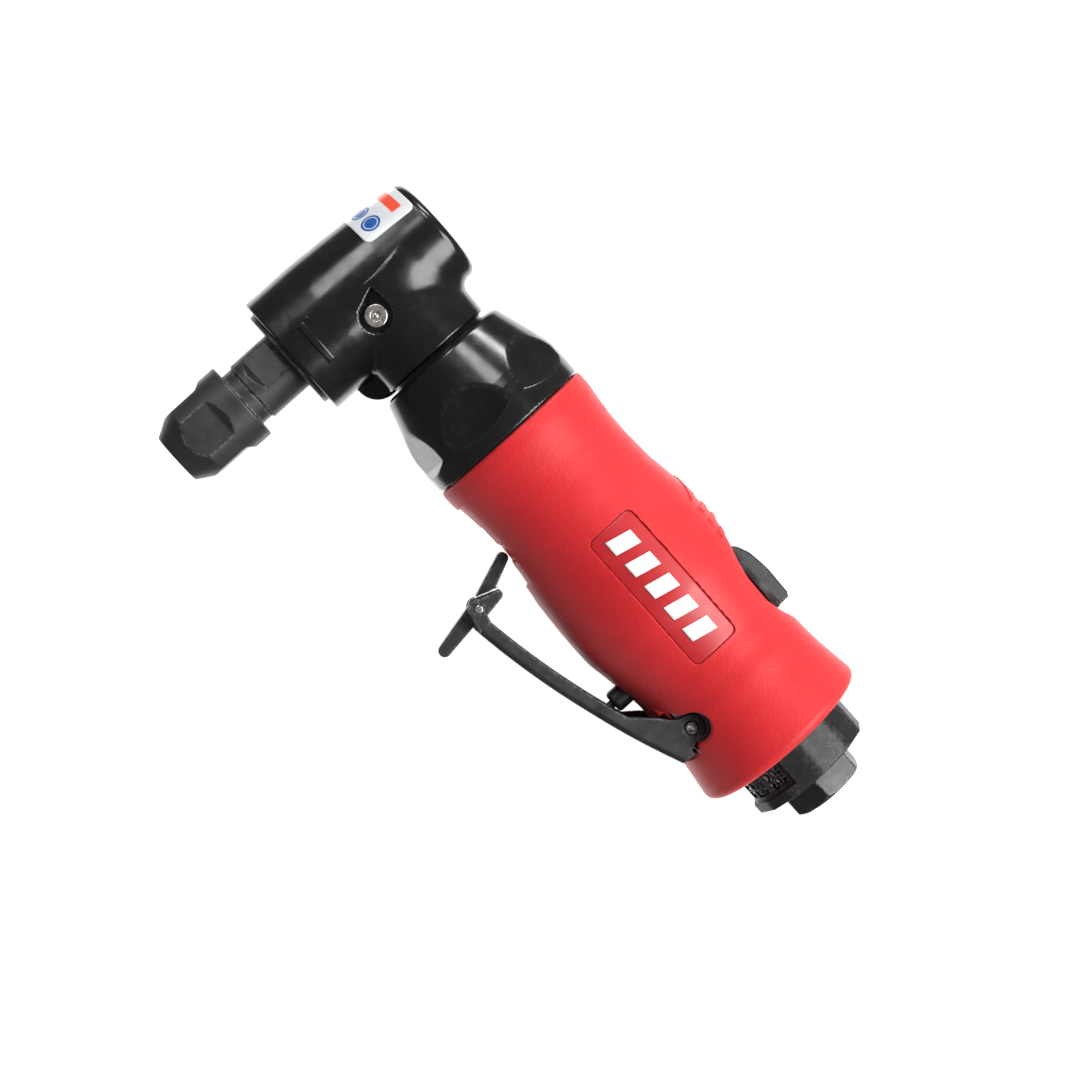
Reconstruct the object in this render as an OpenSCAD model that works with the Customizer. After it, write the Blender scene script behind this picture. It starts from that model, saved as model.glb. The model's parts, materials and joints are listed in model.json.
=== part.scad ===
// Right-angle air die grinder, lying on its side.
// Origin: centre of the collet mouth, on the spindle axis.
// +X runs along the handle towards the air inlet, +Y along the spindle away from
// the tool bit, +Z up. All sizes are in millimetres.

/* [Head] */
// Distance from the collet mouth to the handle axis
handle_axis_y = 58.1; // [57.8:0.1:58.4]
// Outer radius of the head barrel at its open end
barrel_r = 15.1; // [15:0.1:15.6]
// Distance from the collet mouth to the open end of the barrel
barrel_start = 33.5; // [33.4:0.1:33.6]
// Distance from the collet mouth to the closed end of the barrel
barrel_end = 77; // [76.8:0.1:77.3]
// Outer radius of the neck between barrel and coupling nut
neck_r = 13.6; // [13.3:0.1:13.8]

/* [Spindle] */
// Radius of the collet bore, for a 1/4 inch shank
shank_r = 3.175; // [3:0.005:3.2]
// Outer radius of the collet nut
nut_r = 9.55; // [9.4:0.05:10]
// Width across the four flats of the collet nut
nut_flats = 16.6; // [16:0.1:17.4]
// Length of the collet nut
nut_length = 19.2; // [19:0.1:19.4]
// Width across the wrench flats of the spindle
spindle_flats = 11.5; // [11:0.1:12.5]
// Pitch radius of the two bevel gears
gear_pitch_r = 8; // [7.8:0.1:8.1]
// Number of teeth on each bevel gear
gear_teeth = 14; // [12:1:16]

/* [Handle] */
// Where the coupling nut starts, along X
coupling_start = 21.5; // [21.4:0.1:21.7]
// Largest radius of the coupling nut
coupling_r = 20.1; // [19.8:0.1:20.4]
// Width across the six flats of the coupling nut
coupling_flats = 36.6; // [36:0.1:37.4]
// Where the grip starts, along X
grip_start = 44.3; // [44.2:0.1:44.7]
// Where the grip ends, along X
grip_end = 135.5; // [135.2:0.1:135.7]
// Outer radius of the motor housing inside the grip
housing_r = 17.5; // [17.3:0.05:17.6]
// Radius of the motor bore
motor_bore_r = 15; // [15:0.05:15.2]

/* [Throttle] */
// X of the lever pivot
pivot_x = 118.6; // [118.4:0.1:118.8]
// Distance of the lever pivot below the handle axis
pivot_drop = 14.1; // [14:0.1:14.2]
// X of the pivot of the lock-off latch at the lever's tip
latch_x = 68.4; // [68.2:0.1:68.6]
// Distance of the latch pivot below the handle axis
latch_drop = 31.2; // [31.1:0.1:31.4]
// X of the throttle valve and the regulator knob
valve_x = 104.3; // [104.2:0.1:104.4]
// Thickness of the lever's sheet steel
sheet = 1.5; // [1.4:0.1:1.6]

/* [Tail] */
// Outer radius of the exhaust deflector
deflector_r = 15.15; // [15:0.05:15.2]
// Where the deflector ends, along X
deflector_end = 145; // [144.8:0.1:145.1]
// Width across the flats of the inlet bushing
inlet_flats = 16.7; // [16.4:0.1:17]
// Where the inlet bushing ends, along X
inlet_end = 151.3; // [151:0.1:152]
// Radius of the inlet thread's wall, for 1/4 inch pipe
inlet_r = 5.6; // [5.5:0.05:5.7]

/* [Hidden] */
$fn = 96;

gap = 0.03;             // between pieces that are pressed or screwed together
run = 0.05;             // radial clearance of a running fit
eps = 0.01;             // lets a cut pass through a face

// bearings: bore radius, outer radius, width, number of balls
bearing_12 = [6, 12, 6, 11];
bearing_10 = [5, 11, 6, 9];
bearing_8 = [4, 8, 5, 9];

spindle_r = 7.25;
lower_bearing_y = 36;
upper_bearing_y = 69.6;
pinion_bearing_x = 12;
front_bearing_x = 46.4;
rear_bearing_x = 88.6;
cylinder_start = 52.05;
cylinder_end = 87.95;
eccentric = 1.4;        // offset of the cylinder's bore from the rotor axis
cylinder_bore_r = 12.4;
rotor_r = 10.9;
blade_count = 5;
blade_slot = 1.7;
dowel_r = 0.95;
dowel_offset = 13;

neck_root_r = 14.35;    // of the neck where it leaves the barrel
neck_end = 20.4;
spigot_r = 12.4;
flange_start = 36.5;
head_end = 40;
retainer_start = 30;
retainer_end = 32;
housing_front = 35;
housing_end = 130.5;
housing_thread_r = 16.4;

pivot_y = handle_axis_y - pivot_drop;
latch_y = handle_axis_y - latch_drop;
lever_pin_r = 1.5;
latch_pin_r = 0.9;
arm_half = 6.5;         // half width of the lever's arm
ear_half = 10.4;        // half width of the lever at its ears
arm_depth = 3.6;        // depth of the arm's channel
latch_half = 2.2;       // half width of the latch

valve_bore_r = 4.4;
stem_r = 2.6;
spring_seat = -8.4;     // height of the valve head's seat over the handle axis
knob_base = 17.4;       // height of the knob's underside over the handle axis
knob_r = 8.8;
deflector_start = 135.9;
screen_start = 137.9;   // of the screen inside the air inlet

// ---------- placing ----------

// Z of the children becomes +X, along the handle axis
module on_handle(x = 0) {
    translate([x, handle_axis_y, 0]) rotate([0, 90, 0]) children();
}

// Z of the children becomes +Y, along the spindle axis
module on_spindle(y = 0) {
    translate([0, y, 0]) rotate([-90, 0, 0]) children();
}

// Z of the children becomes +Y, through the valve, from a height over the handle axis
module on_valve(height = 0) {
    translate([valve_x, handle_axis_y + height, 0]) rotate([-90, 0, 0]) children();
}

module ring(r_out, r_in, h) {
    difference() {
        cylinder(r = r_out, h = h);
        translate([0, 0, -1]) cylinder(r = r_in, h = h + 2);
    }
}

// ---------- outlines ----------

function arc(cx, cy, r, from, to, steps) =
    [for (i = [0:steps]) let (a = from + (to - from) * i / steps) [cx + r * cos(a), cy + r * sin(a)]];

// a tapered bar with round ends: circle r1 at p and circle r2 at q, joined by tangents
function bar(p, q, r1, r2) =
    let (
        d = q - p,
        heading = atan2(d[1], d[0]),
        open = acos((r1 - r2) / norm(d))
    )
    concat(
        arc(p[0], p[1], r1, heading + open, heading + 360 - open, 12),
        arc(q[0], q[1], r2, heading - open, heading + open, 8)
    );

// the outer face of the lever's arm, a shallow curve, relative to the handle axis
function arm_y(x) = -34.6 + 0.14 * (x - 73.4) + 0.00278 * pow(x - 73.4, 2);

// half width of the lever at x: narrow arm, flared out to the ears
function lever_half(x) =
    let (t = min(1, max(0, (x - 101) / 12)))
    arm_half + (ear_half - arm_half) * (1 - cos(180 * t)) / 2;

// ---------- bearings ----------

module bearing_outer(b, z0) {
    mid = (b[0] + b[1]) / 2;
    ball = (b[1] - b[0]) * 0.28;
    translate([0, 0, z0]) {
        difference() {
            ring(b[1] - gap, b[1] - (b[1] - b[0]) * 0.28, b[2]);
            translate([0, 0, b[2] / 2]) rotate_extrude() translate([mid, 0]) circle(r = ball + run);
        }
        for (i = [0:b[3] - 1])
            rotate(360 * i / b[3]) translate([mid, 0, b[2] / 2]) sphere(r = ball, $fn = 32);
    }
}

module bearing_inner(b, z0) {
    mid = (b[0] + b[1]) / 2;
    ball = (b[1] - b[0]) * 0.28;
    translate([0, 0, z0]) difference() {
        ring(b[0] + (b[1] - b[0]) * 0.28, b[0] + gap, b[2]);
        translate([0, 0, b[2] / 2]) rotate_extrude() translate([mid, 0]) circle(r = ball + run);
    }
}

// ---------- bevel gears ----------

// Both gears have 45 degree pitch cones whose tips meet where the two axes cross.
tooth_add = 0.8;
tooth_ded = 1.3;
tooth_half = 0.74;      // half thickness of a tooth on the pitch cone, at its outer end
tooth_slope = 22;
face_share = 0.64;      // inner end of a tooth, as a share of the cone distance
cone_length = gear_pitch_r / cos(45);

// one tooth along +X on the plane Z = 0, its tip towards -Z; the flanks meet at the origin
module tooth_along_x() {
    sink = tooth_ded + 0.3;
    swing = atan(tooth_half / cone_length);
    lean = atan(tan(tooth_slope) * cos(swing));
    difference() {
        translate([0, 3, 0]) rotate([90, 0, 0]) linear_extrude(6) polygon([
            for (k = [face_share, 1]) [k * cone_length, k * sink],
            for (k = [1, face_share]) [k * cone_length, -k * tooth_add]
        ]);
        for (side = [0, 1]) mirror([0, side, 0])
            rotate([-lean, 0, swing]) translate([-5, 0, -10]) cube([30, 10, 20]);
    }
}

// the gear's blank and teeth, axis on Z, pitch cone's tip at the origin
module bevel_gear(bore_r, back, phase) {
    c = cos(45);
    outer = [gear_pitch_r - tooth_ded * c, gear_pitch_r + tooth_ded * c];
    inner = outer * face_share;
    rotate_extrude() polygon([
        [bore_r, inner[1]], inner, outer, [outer[0], back], [bore_r, back]
    ]);
    for (i = [0:gear_teeth - 1]) rotate(phase + 360 * i / gear_teeth)
        rotate([0, -45, 0]) tooth_along_x();
}

// ---------- head ----------

barrel_top_r = 12.8;
barrel_side = [
    [barrel_r - 0.5, barrel_start], [barrel_r, barrel_start + 0.5], [barrel_r, 46],
    [14.7, 54], [14.2, 62], [13.5, 69], [barrel_top_r, barrel_end - 2.1]
];

// the barrel, grown by a thickness, with a rounded rim and a slightly domed top
module barrel_solid(grow = 0) {
    rim = 1.8;
    on_spindle() rotate_extrude() polygon(concat(
        [[0, barrel_start - grow]],
        [for (p = barrel_side) [p[0] + grow, p[1]]],
        arc(barrel_top_r - rim, barrel_end - 0.3 - rim, rim + grow, 0, 90, 6),
        [[0, barrel_end + grow]]
    ));
}

// Z = 0 becomes the underside of the boss beside the neck
module neck_boss_place() {
    translate([15.6, handle_axis_y - 13.2, -10.5]) children();
}

// arrow that shows which way the spindle turns, as a flat outline in X and Y
module arrow_outline() {
    tail = 6.9;
    neck = -3.4;
    tip = -8.2;
    half = 0.9;
    head = 2.2;
    polygon([
        [tail, half], [neck, half], [neck, head], [tip, 0],
        [neck, -head], [neck, -half], [tail, -half]
    ]);
}

module angle_head() color("#17181a") {
    arrow_y = 38.2;
    difference() {
        union() {
            barrel_solid();
            on_handle() cylinder(r1 = neck_root_r, r2 = neck_r, h = neck_end);
            on_handle() cylinder(r = spigot_r, h = head_end);
            on_handle(flange_start) cylinder(r = motor_bore_r - 0.15, h = head_end - flange_start);
            neck_boss_place() cylinder(r = 5.3, h = 7.5);
        }
        // bearing seats, gear chamber and cap thread inside the barrel
        on_spindle(barrel_start - 1) cylinder(r = 12.9, h = lower_bearing_y - barrel_start + 1);
        on_spindle(barrel_start) cylinder(r = 12, h = lower_bearing_y + 6.1 - barrel_start);
        on_spindle(lower_bearing_y) cylinder(r = 10.4, h = upper_bearing_y - lower_bearing_y - 0.3);
        on_spindle(lower_bearing_y) cylinder(r = 8, h = upper_bearing_y + 5.2 - lower_bearing_y);
        // pinion bore in the neck
        on_handle(2) cylinder(r = 9.4, h = 12);
        on_handle(pinion_bearing_x - 0.1) cylinder(r = 11, h = 40);
        // groove for the retaining ring
        on_handle(retainer_start - 0.1) ring(spigot_r + 1, 11.6, retainer_end - retainer_start + 0.2);
        // pocket for the grease fitting and hole for the plug
        translate([6.2, handle_axis_y - 5.3, 11.3]) cylinder(r = 3.6, h = 8);
        translate([6.2, handle_axis_y - 5.3, 5]) cylinder(r = 1.6, h = 10);
        neck_boss_place() translate([0, 0, -1]) cylinder(r = 1.8, h = 5.5);
    }
    intersection() {
        translate([0, arrow_y, 10]) linear_extrude(10) arrow_outline();
        on_spindle(arrow_y - 4) ring(barrel_r + 0.3, barrel_r - 0.4, 8);
    }
}

module bearing_cap() color("#202124") on_spindle() difference() {
    union() {
        translate([0, 0, 32.4]) cylinder(r = 12.25, h = 1.2);
        translate([0, 0, 33.5]) cylinder(r = 12.8, h = 2.4);
    }
    cylinder(r = spindle_r + 0.3, h = 40);
    translate([0, 0, 34]) cylinder(r = 9.6, h = 3);
    for (a = [45, 225]) rotate(a) translate([10.4, 0, 30]) cylinder(r = 0.9, h = 3.6, $fn = 24);
}

module spindle_seal() color("#3a3a38") on_spindle(34.1) ring(9.5, spindle_r + run, 1.7);

module lower_bearing_outer() color("silver") on_spindle() bearing_outer(bearing_12, lower_bearing_y);
module upper_bearing_outer() color("silver") on_spindle() bearing_outer(bearing_8, upper_bearing_y);
module pinion_bearing_outer() color("silver") on_handle() bearing_outer(bearing_10, pinion_bearing_x);

module pinion_bearing_nut() color("#8b8c90") on_handle(18.3) difference() {
    ring(10.9, 6.2, 3);
    for (a = [0, 90]) rotate(a) translate([-12, -1, 1.6]) cube([24, 2, 2]);
}

module grease_fitting() color("#c8c4ba") translate([6.2, handle_axis_y - 5.3, 0]) {
    difference() {
        union() {
            translate([0, 0, 9.6]) cylinder(r = 1.55, h = 2);
            translate([0, 0, 11.5]) cylinder(r = 2.55, h = 1.3);
        }
        translate([0, 0, 12.2]) cylinder(r = 1.1, h = 2);
    }
    translate([0, 0, 12.35]) sphere(r = 0.8);
}

module neck_plug() color("#101113") neck_boss_place() {
    head = 2.6;
    translate([0, 0, -head - 0.1]) difference() {
        cylinder(r = 3, h = head);
        translate([0, 0, -1]) cylinder(r = 1.5, h = 2.4, $fn = 6);
    }
    translate([0, 0, -0.2]) cylinder(r = 1.7, h = 4.4);
}

// thin label wrapped round the front of the barrel, near its closed end
module head_label() color("white") intersection() {
    difference() {
        barrel_solid(0.2);
        barrel_solid(0.03);
    }
    rotate([-90, 0, 0]) linear_extrude(barrel_end) polygon(concat(
        [[0, 0]],
        arc(0, 0, 18, 115.4, 244.6, 8)
    ));
    translate([-20, 61.6, -20]) cube([40, 13.3, 40]);
}

// ---------- coupling ----------

module flat_cutters(count, apothem, width, start, end, runout, turn) {
    for (i = [0:count - 1]) rotate(turn + 360 * i / count)
        translate([0, width / 2, 0]) rotate([90, 0, 0]) linear_extrude(width) polygon([
            [apothem, start - 1], [apothem, end], [apothem + runout, end + runout],
            [apothem + 8, end + runout], [apothem + 8, start - 1]
        ]);
}

module coupling_nut() color("#0d0e10") on_handle() difference() {
    cone_start = coupling_start + 0.6;
    cone_end = 33.7;
    end = 44;
    rotate_extrude() polygon([
        [spigot_r + 0.3, coupling_start], [14.9, coupling_start], [15.9, cone_start],
        [19.6, cone_end], [coupling_r, 36.5], [coupling_r, end - 0.4], [coupling_r - 0.4, end],
        [housing_thread_r + 0.1, end], [housing_thread_r + 0.1, housing_front - 0.4],
        [motor_bore_r - 0.1, housing_front - 0.4], [motor_bore_r - 0.1, retainer_start - 0.15],
        [spigot_r + 0.3, retainer_start - 0.15]
    ]);
    flat_cutters(6, coupling_flats / 2, 30, cone_start, 38.9, 2.2, 194);
}

// split ring in the head's groove that the coupling nut pulls on
module nut_retainer() color("#6c6d70") on_handle(retainer_start) difference() {
    ring(motor_bore_r - 0.3, 11.7, retainer_end - retainer_start);
    rotate(30) translate([0, -0.6, -1]) cube([20, 1.2, 5]);
}

// ---------- motor ----------

module motor_housing() color("#8d9095") difference() {
    union() {
        on_handle(housing_front) cylinder(r = housing_thread_r, h = 10);
        on_handle(44.2) cylinder(r = housing_r, h = housing_end - 44.2);
        // collar of the muffler chamber
        on_handle(housing_end - eps) ring(10.2, 8.4, 4.4);
    }
    on_handle(housing_front - 1) cylinder(r = motor_bore_r, h = rear_bearing_x + 6.6 - housing_front);
    // air inlet
    on_handle(valve_x) cylinder(r = 3.6, h = 40);
    on_handle(117.5) cylinder(r = 8.3, h = 20);
    // throttle valve and regulator
    on_valve(-20) cylinder(r = valve_bore_r, h = 40);
    on_valve(16.3) cylinder(r = 6.2, h = 5);
    // flat seat under the regulator knob
    on_valve(knob_base - 0.3) cylinder(r = knob_r + 0.4, h = 5);
    // gallery from the valve to the motor
    translate([90, handle_axis_y - 11.5, 0]) rotate([0, 90, 0]) cylinder(r = 1.9, h = 14);
    // exhaust passages beside the valve
    for (s = [-1, 1]) translate([90, handle_axis_y + 3, s * 12.2]) rotate([0, 90, 0])
        cylinder(r = 2.4, h = 50);
    // flats and slots for the lever's ears, and room for its web
    for (s = [-1, 1]) translate([108, handle_axis_y - 19, s > 0 ? 8.6 : -20.6]) cube([19.5, 10.6, 12]);
    translate([112, handle_axis_y - 30, -20]) cube([15.5, 13.6, 40]);
    // lever pin
    translate([pivot_x, pivot_y, -15]) cylinder(r = lever_pin_r + gap, h = 30);
}

module motor_clamp_ring() color("#77797c") on_handle(head_end + 0.05) ring(motor_bore_r - 0.05, 10.5, 5.9);

// end plate with its bearing seat open towards -Z, and a hole for the dowel
module end_plate(h) {
    difference() {
        cylinder(r = motor_bore_r - 0.05, h = h);
        translate([0, 0, -1]) cylinder(r = bearing_8[1], h = 6.4);
        translate([0, 0, -1]) cylinder(r = 4.7, h = h + 2);
        translate([0, dowel_offset, -1]) cylinder(r = dowel_r + gap, h = h + 2);
        translate([-1.5, -dowel_offset, h - 1]) cube([3, 2.4, 3]);
    }
}

module front_end_plate() color("#9a9ca0") on_handle(46) end_plate(6);
module rear_end_plate() color("#9a9ca0") on_handle(94) mirror([0, 0, 1]) end_plate(6);

module front_bearing_outer() color("silver") on_handle() bearing_outer(bearing_8, front_bearing_x - 0.1);
module rear_bearing_outer() color("silver") on_handle() bearing_outer(bearing_8, rear_bearing_x + 0.15);

module motor_cylinder() color("#85878b") on_handle(cylinder_start) difference() {
    h = cylinder_end - cylinder_start;
    cylinder(r = motor_bore_r - 0.05, h = h);
    translate([0, -eccentric, -1]) cylinder(r = cylinder_bore_r, h = h + 2);
    translate([0, dowel_offset, -1]) cylinder(r = dowel_r + gap, h = h + 2);
    for (x = [10, 18, 26]) translate([0, -5, x]) rotate([0, 90, 0]) cylinder(r = 1.6, h = 20);
}

module dowel_pin() color("silver") translate([46.3, handle_axis_y + dowel_offset, 0])
    rotate([0, 90, 0]) cylinder(r = dowel_r, h = 47.4);

module rotor() color("#6f7175") on_handle() difference() {
    union() {
        translate([0, 0, cylinder_start + 0.1]) cylinder(r = rotor_r, h = 35.7);
        translate([0, 0, 45.6]) cylinder(r = bearing_8[0], h = 48.2);
        translate([0, 0, 15.5]) cylinder(r = 2.9, h = 31, $fn = 6);
    }
    for (i = [0:blade_count - 1]) rotate(360 * i / blade_count)
        translate([4.9, -blade_slot / 2, cylinder_start]) cube([8, blade_slot, 36]);
}

module rotor_blades() color("#5a4632") on_handle()
    for (i = [0:blade_count - 1]) rotate(360 * i / blade_count)
        translate([5.1, -blade_slot / 2 + 0.1, cylinder_start + 0.2])
            cube([5.7, blade_slot - 0.2, 35.5]);

module front_bearing_inner() color("silver") on_handle() bearing_inner(bearing_8, front_bearing_x - 0.1);
module rear_bearing_inner() color("silver") on_handle() bearing_inner(bearing_8, rear_bearing_x + 0.15);

module pinion() color("#7d7f83") on_handle() difference() {
    union() {
        bevel_gear(0, 9.8, 90 + 180 / gear_teeth);
        translate([0, 0, 8.5]) cylinder(r = 6.4, h = 3.3);
        translate([0, 0, 9]) cylinder(r = bearing_10[0], h = 18);
    }
    translate([0, 0, 14.8]) cylinder(r = 3, h = 20, $fn = 6);
}

module pinion_bearing_inner() color("silver") on_handle() bearing_inner(bearing_10, pinion_bearing_x);

// ---------- spindle ----------

module spindle() color("#1c1d1f") on_spindle() difference() {
    union() {
        translate([0, 0, 5.4]) cylinder(r = 6.9, h = 13.9);
        translate([0, 0, 19.2]) cylinder(r = 6.75, h = 2.4);
        translate([0, 0, 21.6]) cylinder(r = spindle_r, h = 13.9);
        translate([0, 0, 35.4]) cylinder(r = bearing_12[0], h = 9);
        translate([0, 0, 42.2]) cylinder(r = 7, h = 2.2);
        translate([0, 0, 44.3]) cylinder(r = 5.5, h = 4.7);
        translate([0, 0, 48.9]) cylinder(r = bearing_8[0], h = upper_bearing_y - 44.1);
    }
    translate([0, 0, 21.5]) ring(9, 6.6, 0.5);
    // seat of the collet and room for the shank
    translate([0, 0, 5]) cylinder(r = 5, h = 9);
    translate([0, 0, 13.9]) cylinder(r1 = 5, r2 = 3.7, h = 4);
    translate([0, 0, 15]) cylinder(r = 3.7, h = 14);
    // wrench flats
    for (a = [67, 247]) rotate(a + 180) translate([spindle_flats / 2, -8, 25.1]) cube([8, 16, 6.4]);
}

module collet() color("#55575a") on_spindle() difference() {
    union() {
        cylinder(r1 = 3.95, r2 = 5.7, h = 3.03);
        translate([0, 0, 3]) cylinder(r = 5.7, h = 1.2);
        translate([0, 0, 4.1]) cylinder(r1 = 5.7, r2 = 4.9, h = 1.3);
        translate([0, 0, 5.3]) cylinder(r = 4.9, h = 8.6);
        translate([0, 0, 13.8]) cylinder(r1 = 4.9, r2 = 3.9, h = 3.1);
    }
    translate([0, 0, -1]) cylinder(r = shank_r, h = 20);
    // slits, two from the mouth and one from the back
    for (a = [0, 120]) rotate(a) translate([-0.3, 2, -1]) cube([0.6, 8, 13]);
    rotate(60) translate([-0.3, 2, 4]) cube([0.6, 8, 20]);
}

module collet_nut() color("#26282b") on_spindle() difference() {
    tip_r = 6.05;
    cone = nut_r - tip_r;
    rotate_extrude() polygon([
        [4.15, 0], [tip_r, 0], [nut_r, cone * 1.7], [nut_r, nut_length - 0.4], [nut_r - 0.4, nut_length],
        [7, nut_length], [7, 5], [6, 5], [5.95, 3.1]
    ]);
    for (i = [0:3]) rotate(90 * i) translate([0, 15, 0]) rotate([90, 0, 0]) linear_extrude(30) polygon([
        [nut_flats / 2, -1], [nut_flats / 2, 13.2], [nut_flats / 2 + 1.7, 14.9], [12, 14.9], [12, -1]
    ]);
}

module spindle_gear() color("#7d7f83") translate([0, handle_axis_y, 0]) rotate([-90, 0, 0])
    bevel_gear(bearing_8[0] + gap, 11.2, 0);

module lower_bearing_inner() color("silver") on_spindle() bearing_inner(bearing_12, lower_bearing_y);
module upper_bearing_inner() color("silver") on_spindle() bearing_inner(bearing_8, upper_bearing_y);

// ---------- grip ----------

// outline of the grip: X along the handle and radius, waisted before and behind the palm swell
grip_side = [
    [grip_start, 19.4], [grip_start + 0.9, 20.3], [48, 20.2], [52, 19.7], [56, 19.3], [61, 19.2],
    [65, 19.3], [69, 19.6], [73, 20.2], [77, 20.8], [81, 21.05], [85, 21.3], [89, 21.4],
    [93, 21.4], [95, 21.3], [97, 20.9], [99, 20.55], [101, 20.25], [105, 19.6], [109, 19.1],
    [114, 19.25], [117, 19.75], [121, 19.9], [123, 20.05], [127, 20.5], [131, 21.1], [133, 21.45]
];

// steps of the flat recess under the lever's tip: start and end along X, and depth
tip_recess = [[49.5, 61.5, 0.55], [61.4, 66, 0.9], [65.9, 72, 0.6]];
tip_recess_half = 7.2;

module grip_outline(shrink = 0) {
    corner = 2.2;
    polygon(concat(
        [[0, grip_start]],
        [for (p = grip_side) [p[1] - shrink, p[0]]],
        arc(21.5 - corner - shrink, grip_end - corner, corner, 20, 90, 6),
        [[0, grip_end]]
    ));
}

plate_x = 90.6;
plate_y = 1.2;
plate_w = 35.6;
plate_h = 12;

module plate_box(margin, low) {
    translate([plate_x - plate_w / 2 + margin, handle_axis_y + plate_y - plate_h / 2 + margin, low])
        cube([plate_w - 2 * margin, plate_h - 2 * margin, 30 - low]);
}

module grip_sleeve() color("#b3192a") difference() {
    on_handle() rotate_extrude() grip_outline();
    on_handle(grip_start - 1) cylinder(r = housing_r + 0.1, h = 100);
    // recess of the nameplate
    difference() {
        plate_box(0, 10);
        on_handle() rotate_extrude() grip_outline(0.8);
    }
    for (step = tip_recess) difference() {
        translate([step[0], handle_axis_y - 30, -tip_recess_half])
            cube([step[1] - step[0], 20, 2 * tip_recess_half]);
        on_handle() rotate_extrude() grip_outline(step[2]);
    }
    // notch that the latch's tip slides in
    translate([56, handle_axis_y - 38, -latch_half - 0.7]) cube([10.5, 20, 2 * latch_half + 1.4]);
    // seat of the regulator knob
    on_valve(knob_base - 0.4) translate([-0.8, 0, 0]) cylinder(r1 = 10, r2 = 22, h = 10);
    on_valve(5) cylinder(r = 6.4, h = 20);
    // hole of the valve button
    on_valve(-25) cylinder(r = 4.6, h = 20);
    // notches round the lever's ears, and room for its web
    for (s = [-1, 1]) {
        translate([pivot_x, pivot_y, s > 0 ? 8 : -28]) cylinder(r = 3.8, h = 20);
        translate([0, handle_axis_y, s > 0 ? 8 : -28]) linear_extrude(20) polygon([
            [pivot_x - 3.8, -pivot_drop], [pivot_x + 3.6, -pivot_drop - 1],
            [pivot_x + 5.5, -pivot_drop - 2.7], [pivot_x + 5.5, -26], [106, -26], [106, -18.6],
            [pivot_x - 6.6, -16.4]
        ]);
    }
    translate([112.5, handle_axis_y - 30, -12]) cube([pivot_x - 106.9, 13.6, 24]);
}

module nameplate() color("#8e1220") intersection() {
    on_handle() difference() {
        rotate_extrude() grip_outline(0.35);
        rotate_extrude() grip_outline(0.78);
    }
    plate_box(0.15, 10);
}

module nameplate_bars() color("white") intersection() {
    on_handle() difference() {
        rotate_extrude() grip_outline(0.02);
        rotate_extrude() grip_outline(0.33);
    }
    for (i = [0:4]) translate([plate_x - 13.2 + 6.2 * i, handle_axis_y + plate_y, 10])
        linear_extrude(20) polygon([[-2.3, -3], [1.3, -3], [2.7, 3], [-0.9, 3]]);
}

// ---------- throttle ----------

module lever_pin() color("#2b2c2e") difference() {
    translate([pivot_x, pivot_y, -11]) cylinder(r = lever_pin_r, h = 22);
    translate([pivot_x, pivot_y, -12]) cylinder(r = 0.8, h = 24);
    translate([pivot_x - 0.2, pivot_y, -12]) cube([0.4, 2, 24]);
}

// side view of the lever, as one solid outline relative to the handle axis
module lever_side(raise = 0) {
    ear_x = pivot_x;
    ear_y = -pivot_drop;
    ear_r = 3.2;
    low = [for (x = [71:5.2:123]) [x, arm_y(x) + raise]];
    high = [for (x = [105:-5.5:72]) [x, arm_y(x) + arm_depth]];
    polygon(concat(
        low,
        [[ear_x + 4.9, -20 + raise], [ear_x + 4.9, ear_y - 3.3], [ear_x + 3.7, ear_y - 3]],
        arc(ear_x, ear_y, ear_r, -20, 190, 10),
        [[ear_x - 4.3, ear_y - 2.3], [ear_x - 6.4, -18], [ear_x - 8.6, -20.4], [108, -22.8]],
        high,
        [[70.4, -31], [71, -33.5 + raise]]
    ));
}

// plan view of the lever in X and Z, inset by the sheet's thickness for the channel
module lever_plan(inset = 0) {
    xs = [for (x = [66:1:126]) if (x <= 72 || x >= 100 || x % 6 == 0) x];
    polygon(concat(
        [for (x = xs) [x, lever_half(x) - inset]],
        [for (i = [len(xs) - 1:-1:0]) [xs[i], inset - lever_half(xs[i])]]
    ));
}

module throttle_lever() color("#141517") difference() {
    union() {
        difference() {
            intersection() {
                translate([0, handle_axis_y, -15]) linear_extrude(30) lever_side();
                rotate([90, 0, 0]) translate([0, 0, -60]) linear_extrude(60) lever_plan();
            }
            intersection() {
                translate([0, handle_axis_y, -15]) linear_extrude(30) lever_channel();
                rotate([90, 0, 0]) translate([0, 0, -60]) linear_extrude(60) lever_plan(sheet);
            }
        }
        // cheeks at the tip, which carry the latch
        for (s = [-1, 1]) translate([0, handle_axis_y, s > 0 ? arm_half - sheet : -arm_half])
            linear_extrude(sheet) tip_cheek();
    }
    // slot that the latch folds into
    translate([60, handle_axis_y - 40, -latch_half - 0.5]) cube([25.5, 20, 2 * latch_half + 1]);
    translate([pivot_x, pivot_y, -20]) cylinder(r = lever_pin_r + run, h = 40);
    translate([latch_x, latch_y, -20]) cylinder(r = latch_pin_r + gap, h = 40);
}

// side view of the room inside the channel, over the web
module lever_channel() {
    polygon(concat(
        [for (x = [60:5:125]) [x, arm_y(max(x, 71)) + sheet]],
        [[130, arm_y(125) + sheet], [130, 0], [60, 0]]
    ));
}

module tip_cheek() {
    boss = 2.3;
    polygon(concat(
        [[72.5, arm_y(72.5)]],
        [[72.5, arm_y(72.5) + arm_depth], [70.7, -30.6], [69.9, -25.6]],
        [[69.3, -24.9], [68.1, -24.9]],
        [[67.3, -27.8]],
        arc(latch_x, -latch_drop, boss, 130, 270, 8)
    ));
}

module latch_pin() color("#c9c9c6") translate([latch_x, latch_y, -7])
    cylinder(r = latch_pin_r, h = 14);

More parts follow.
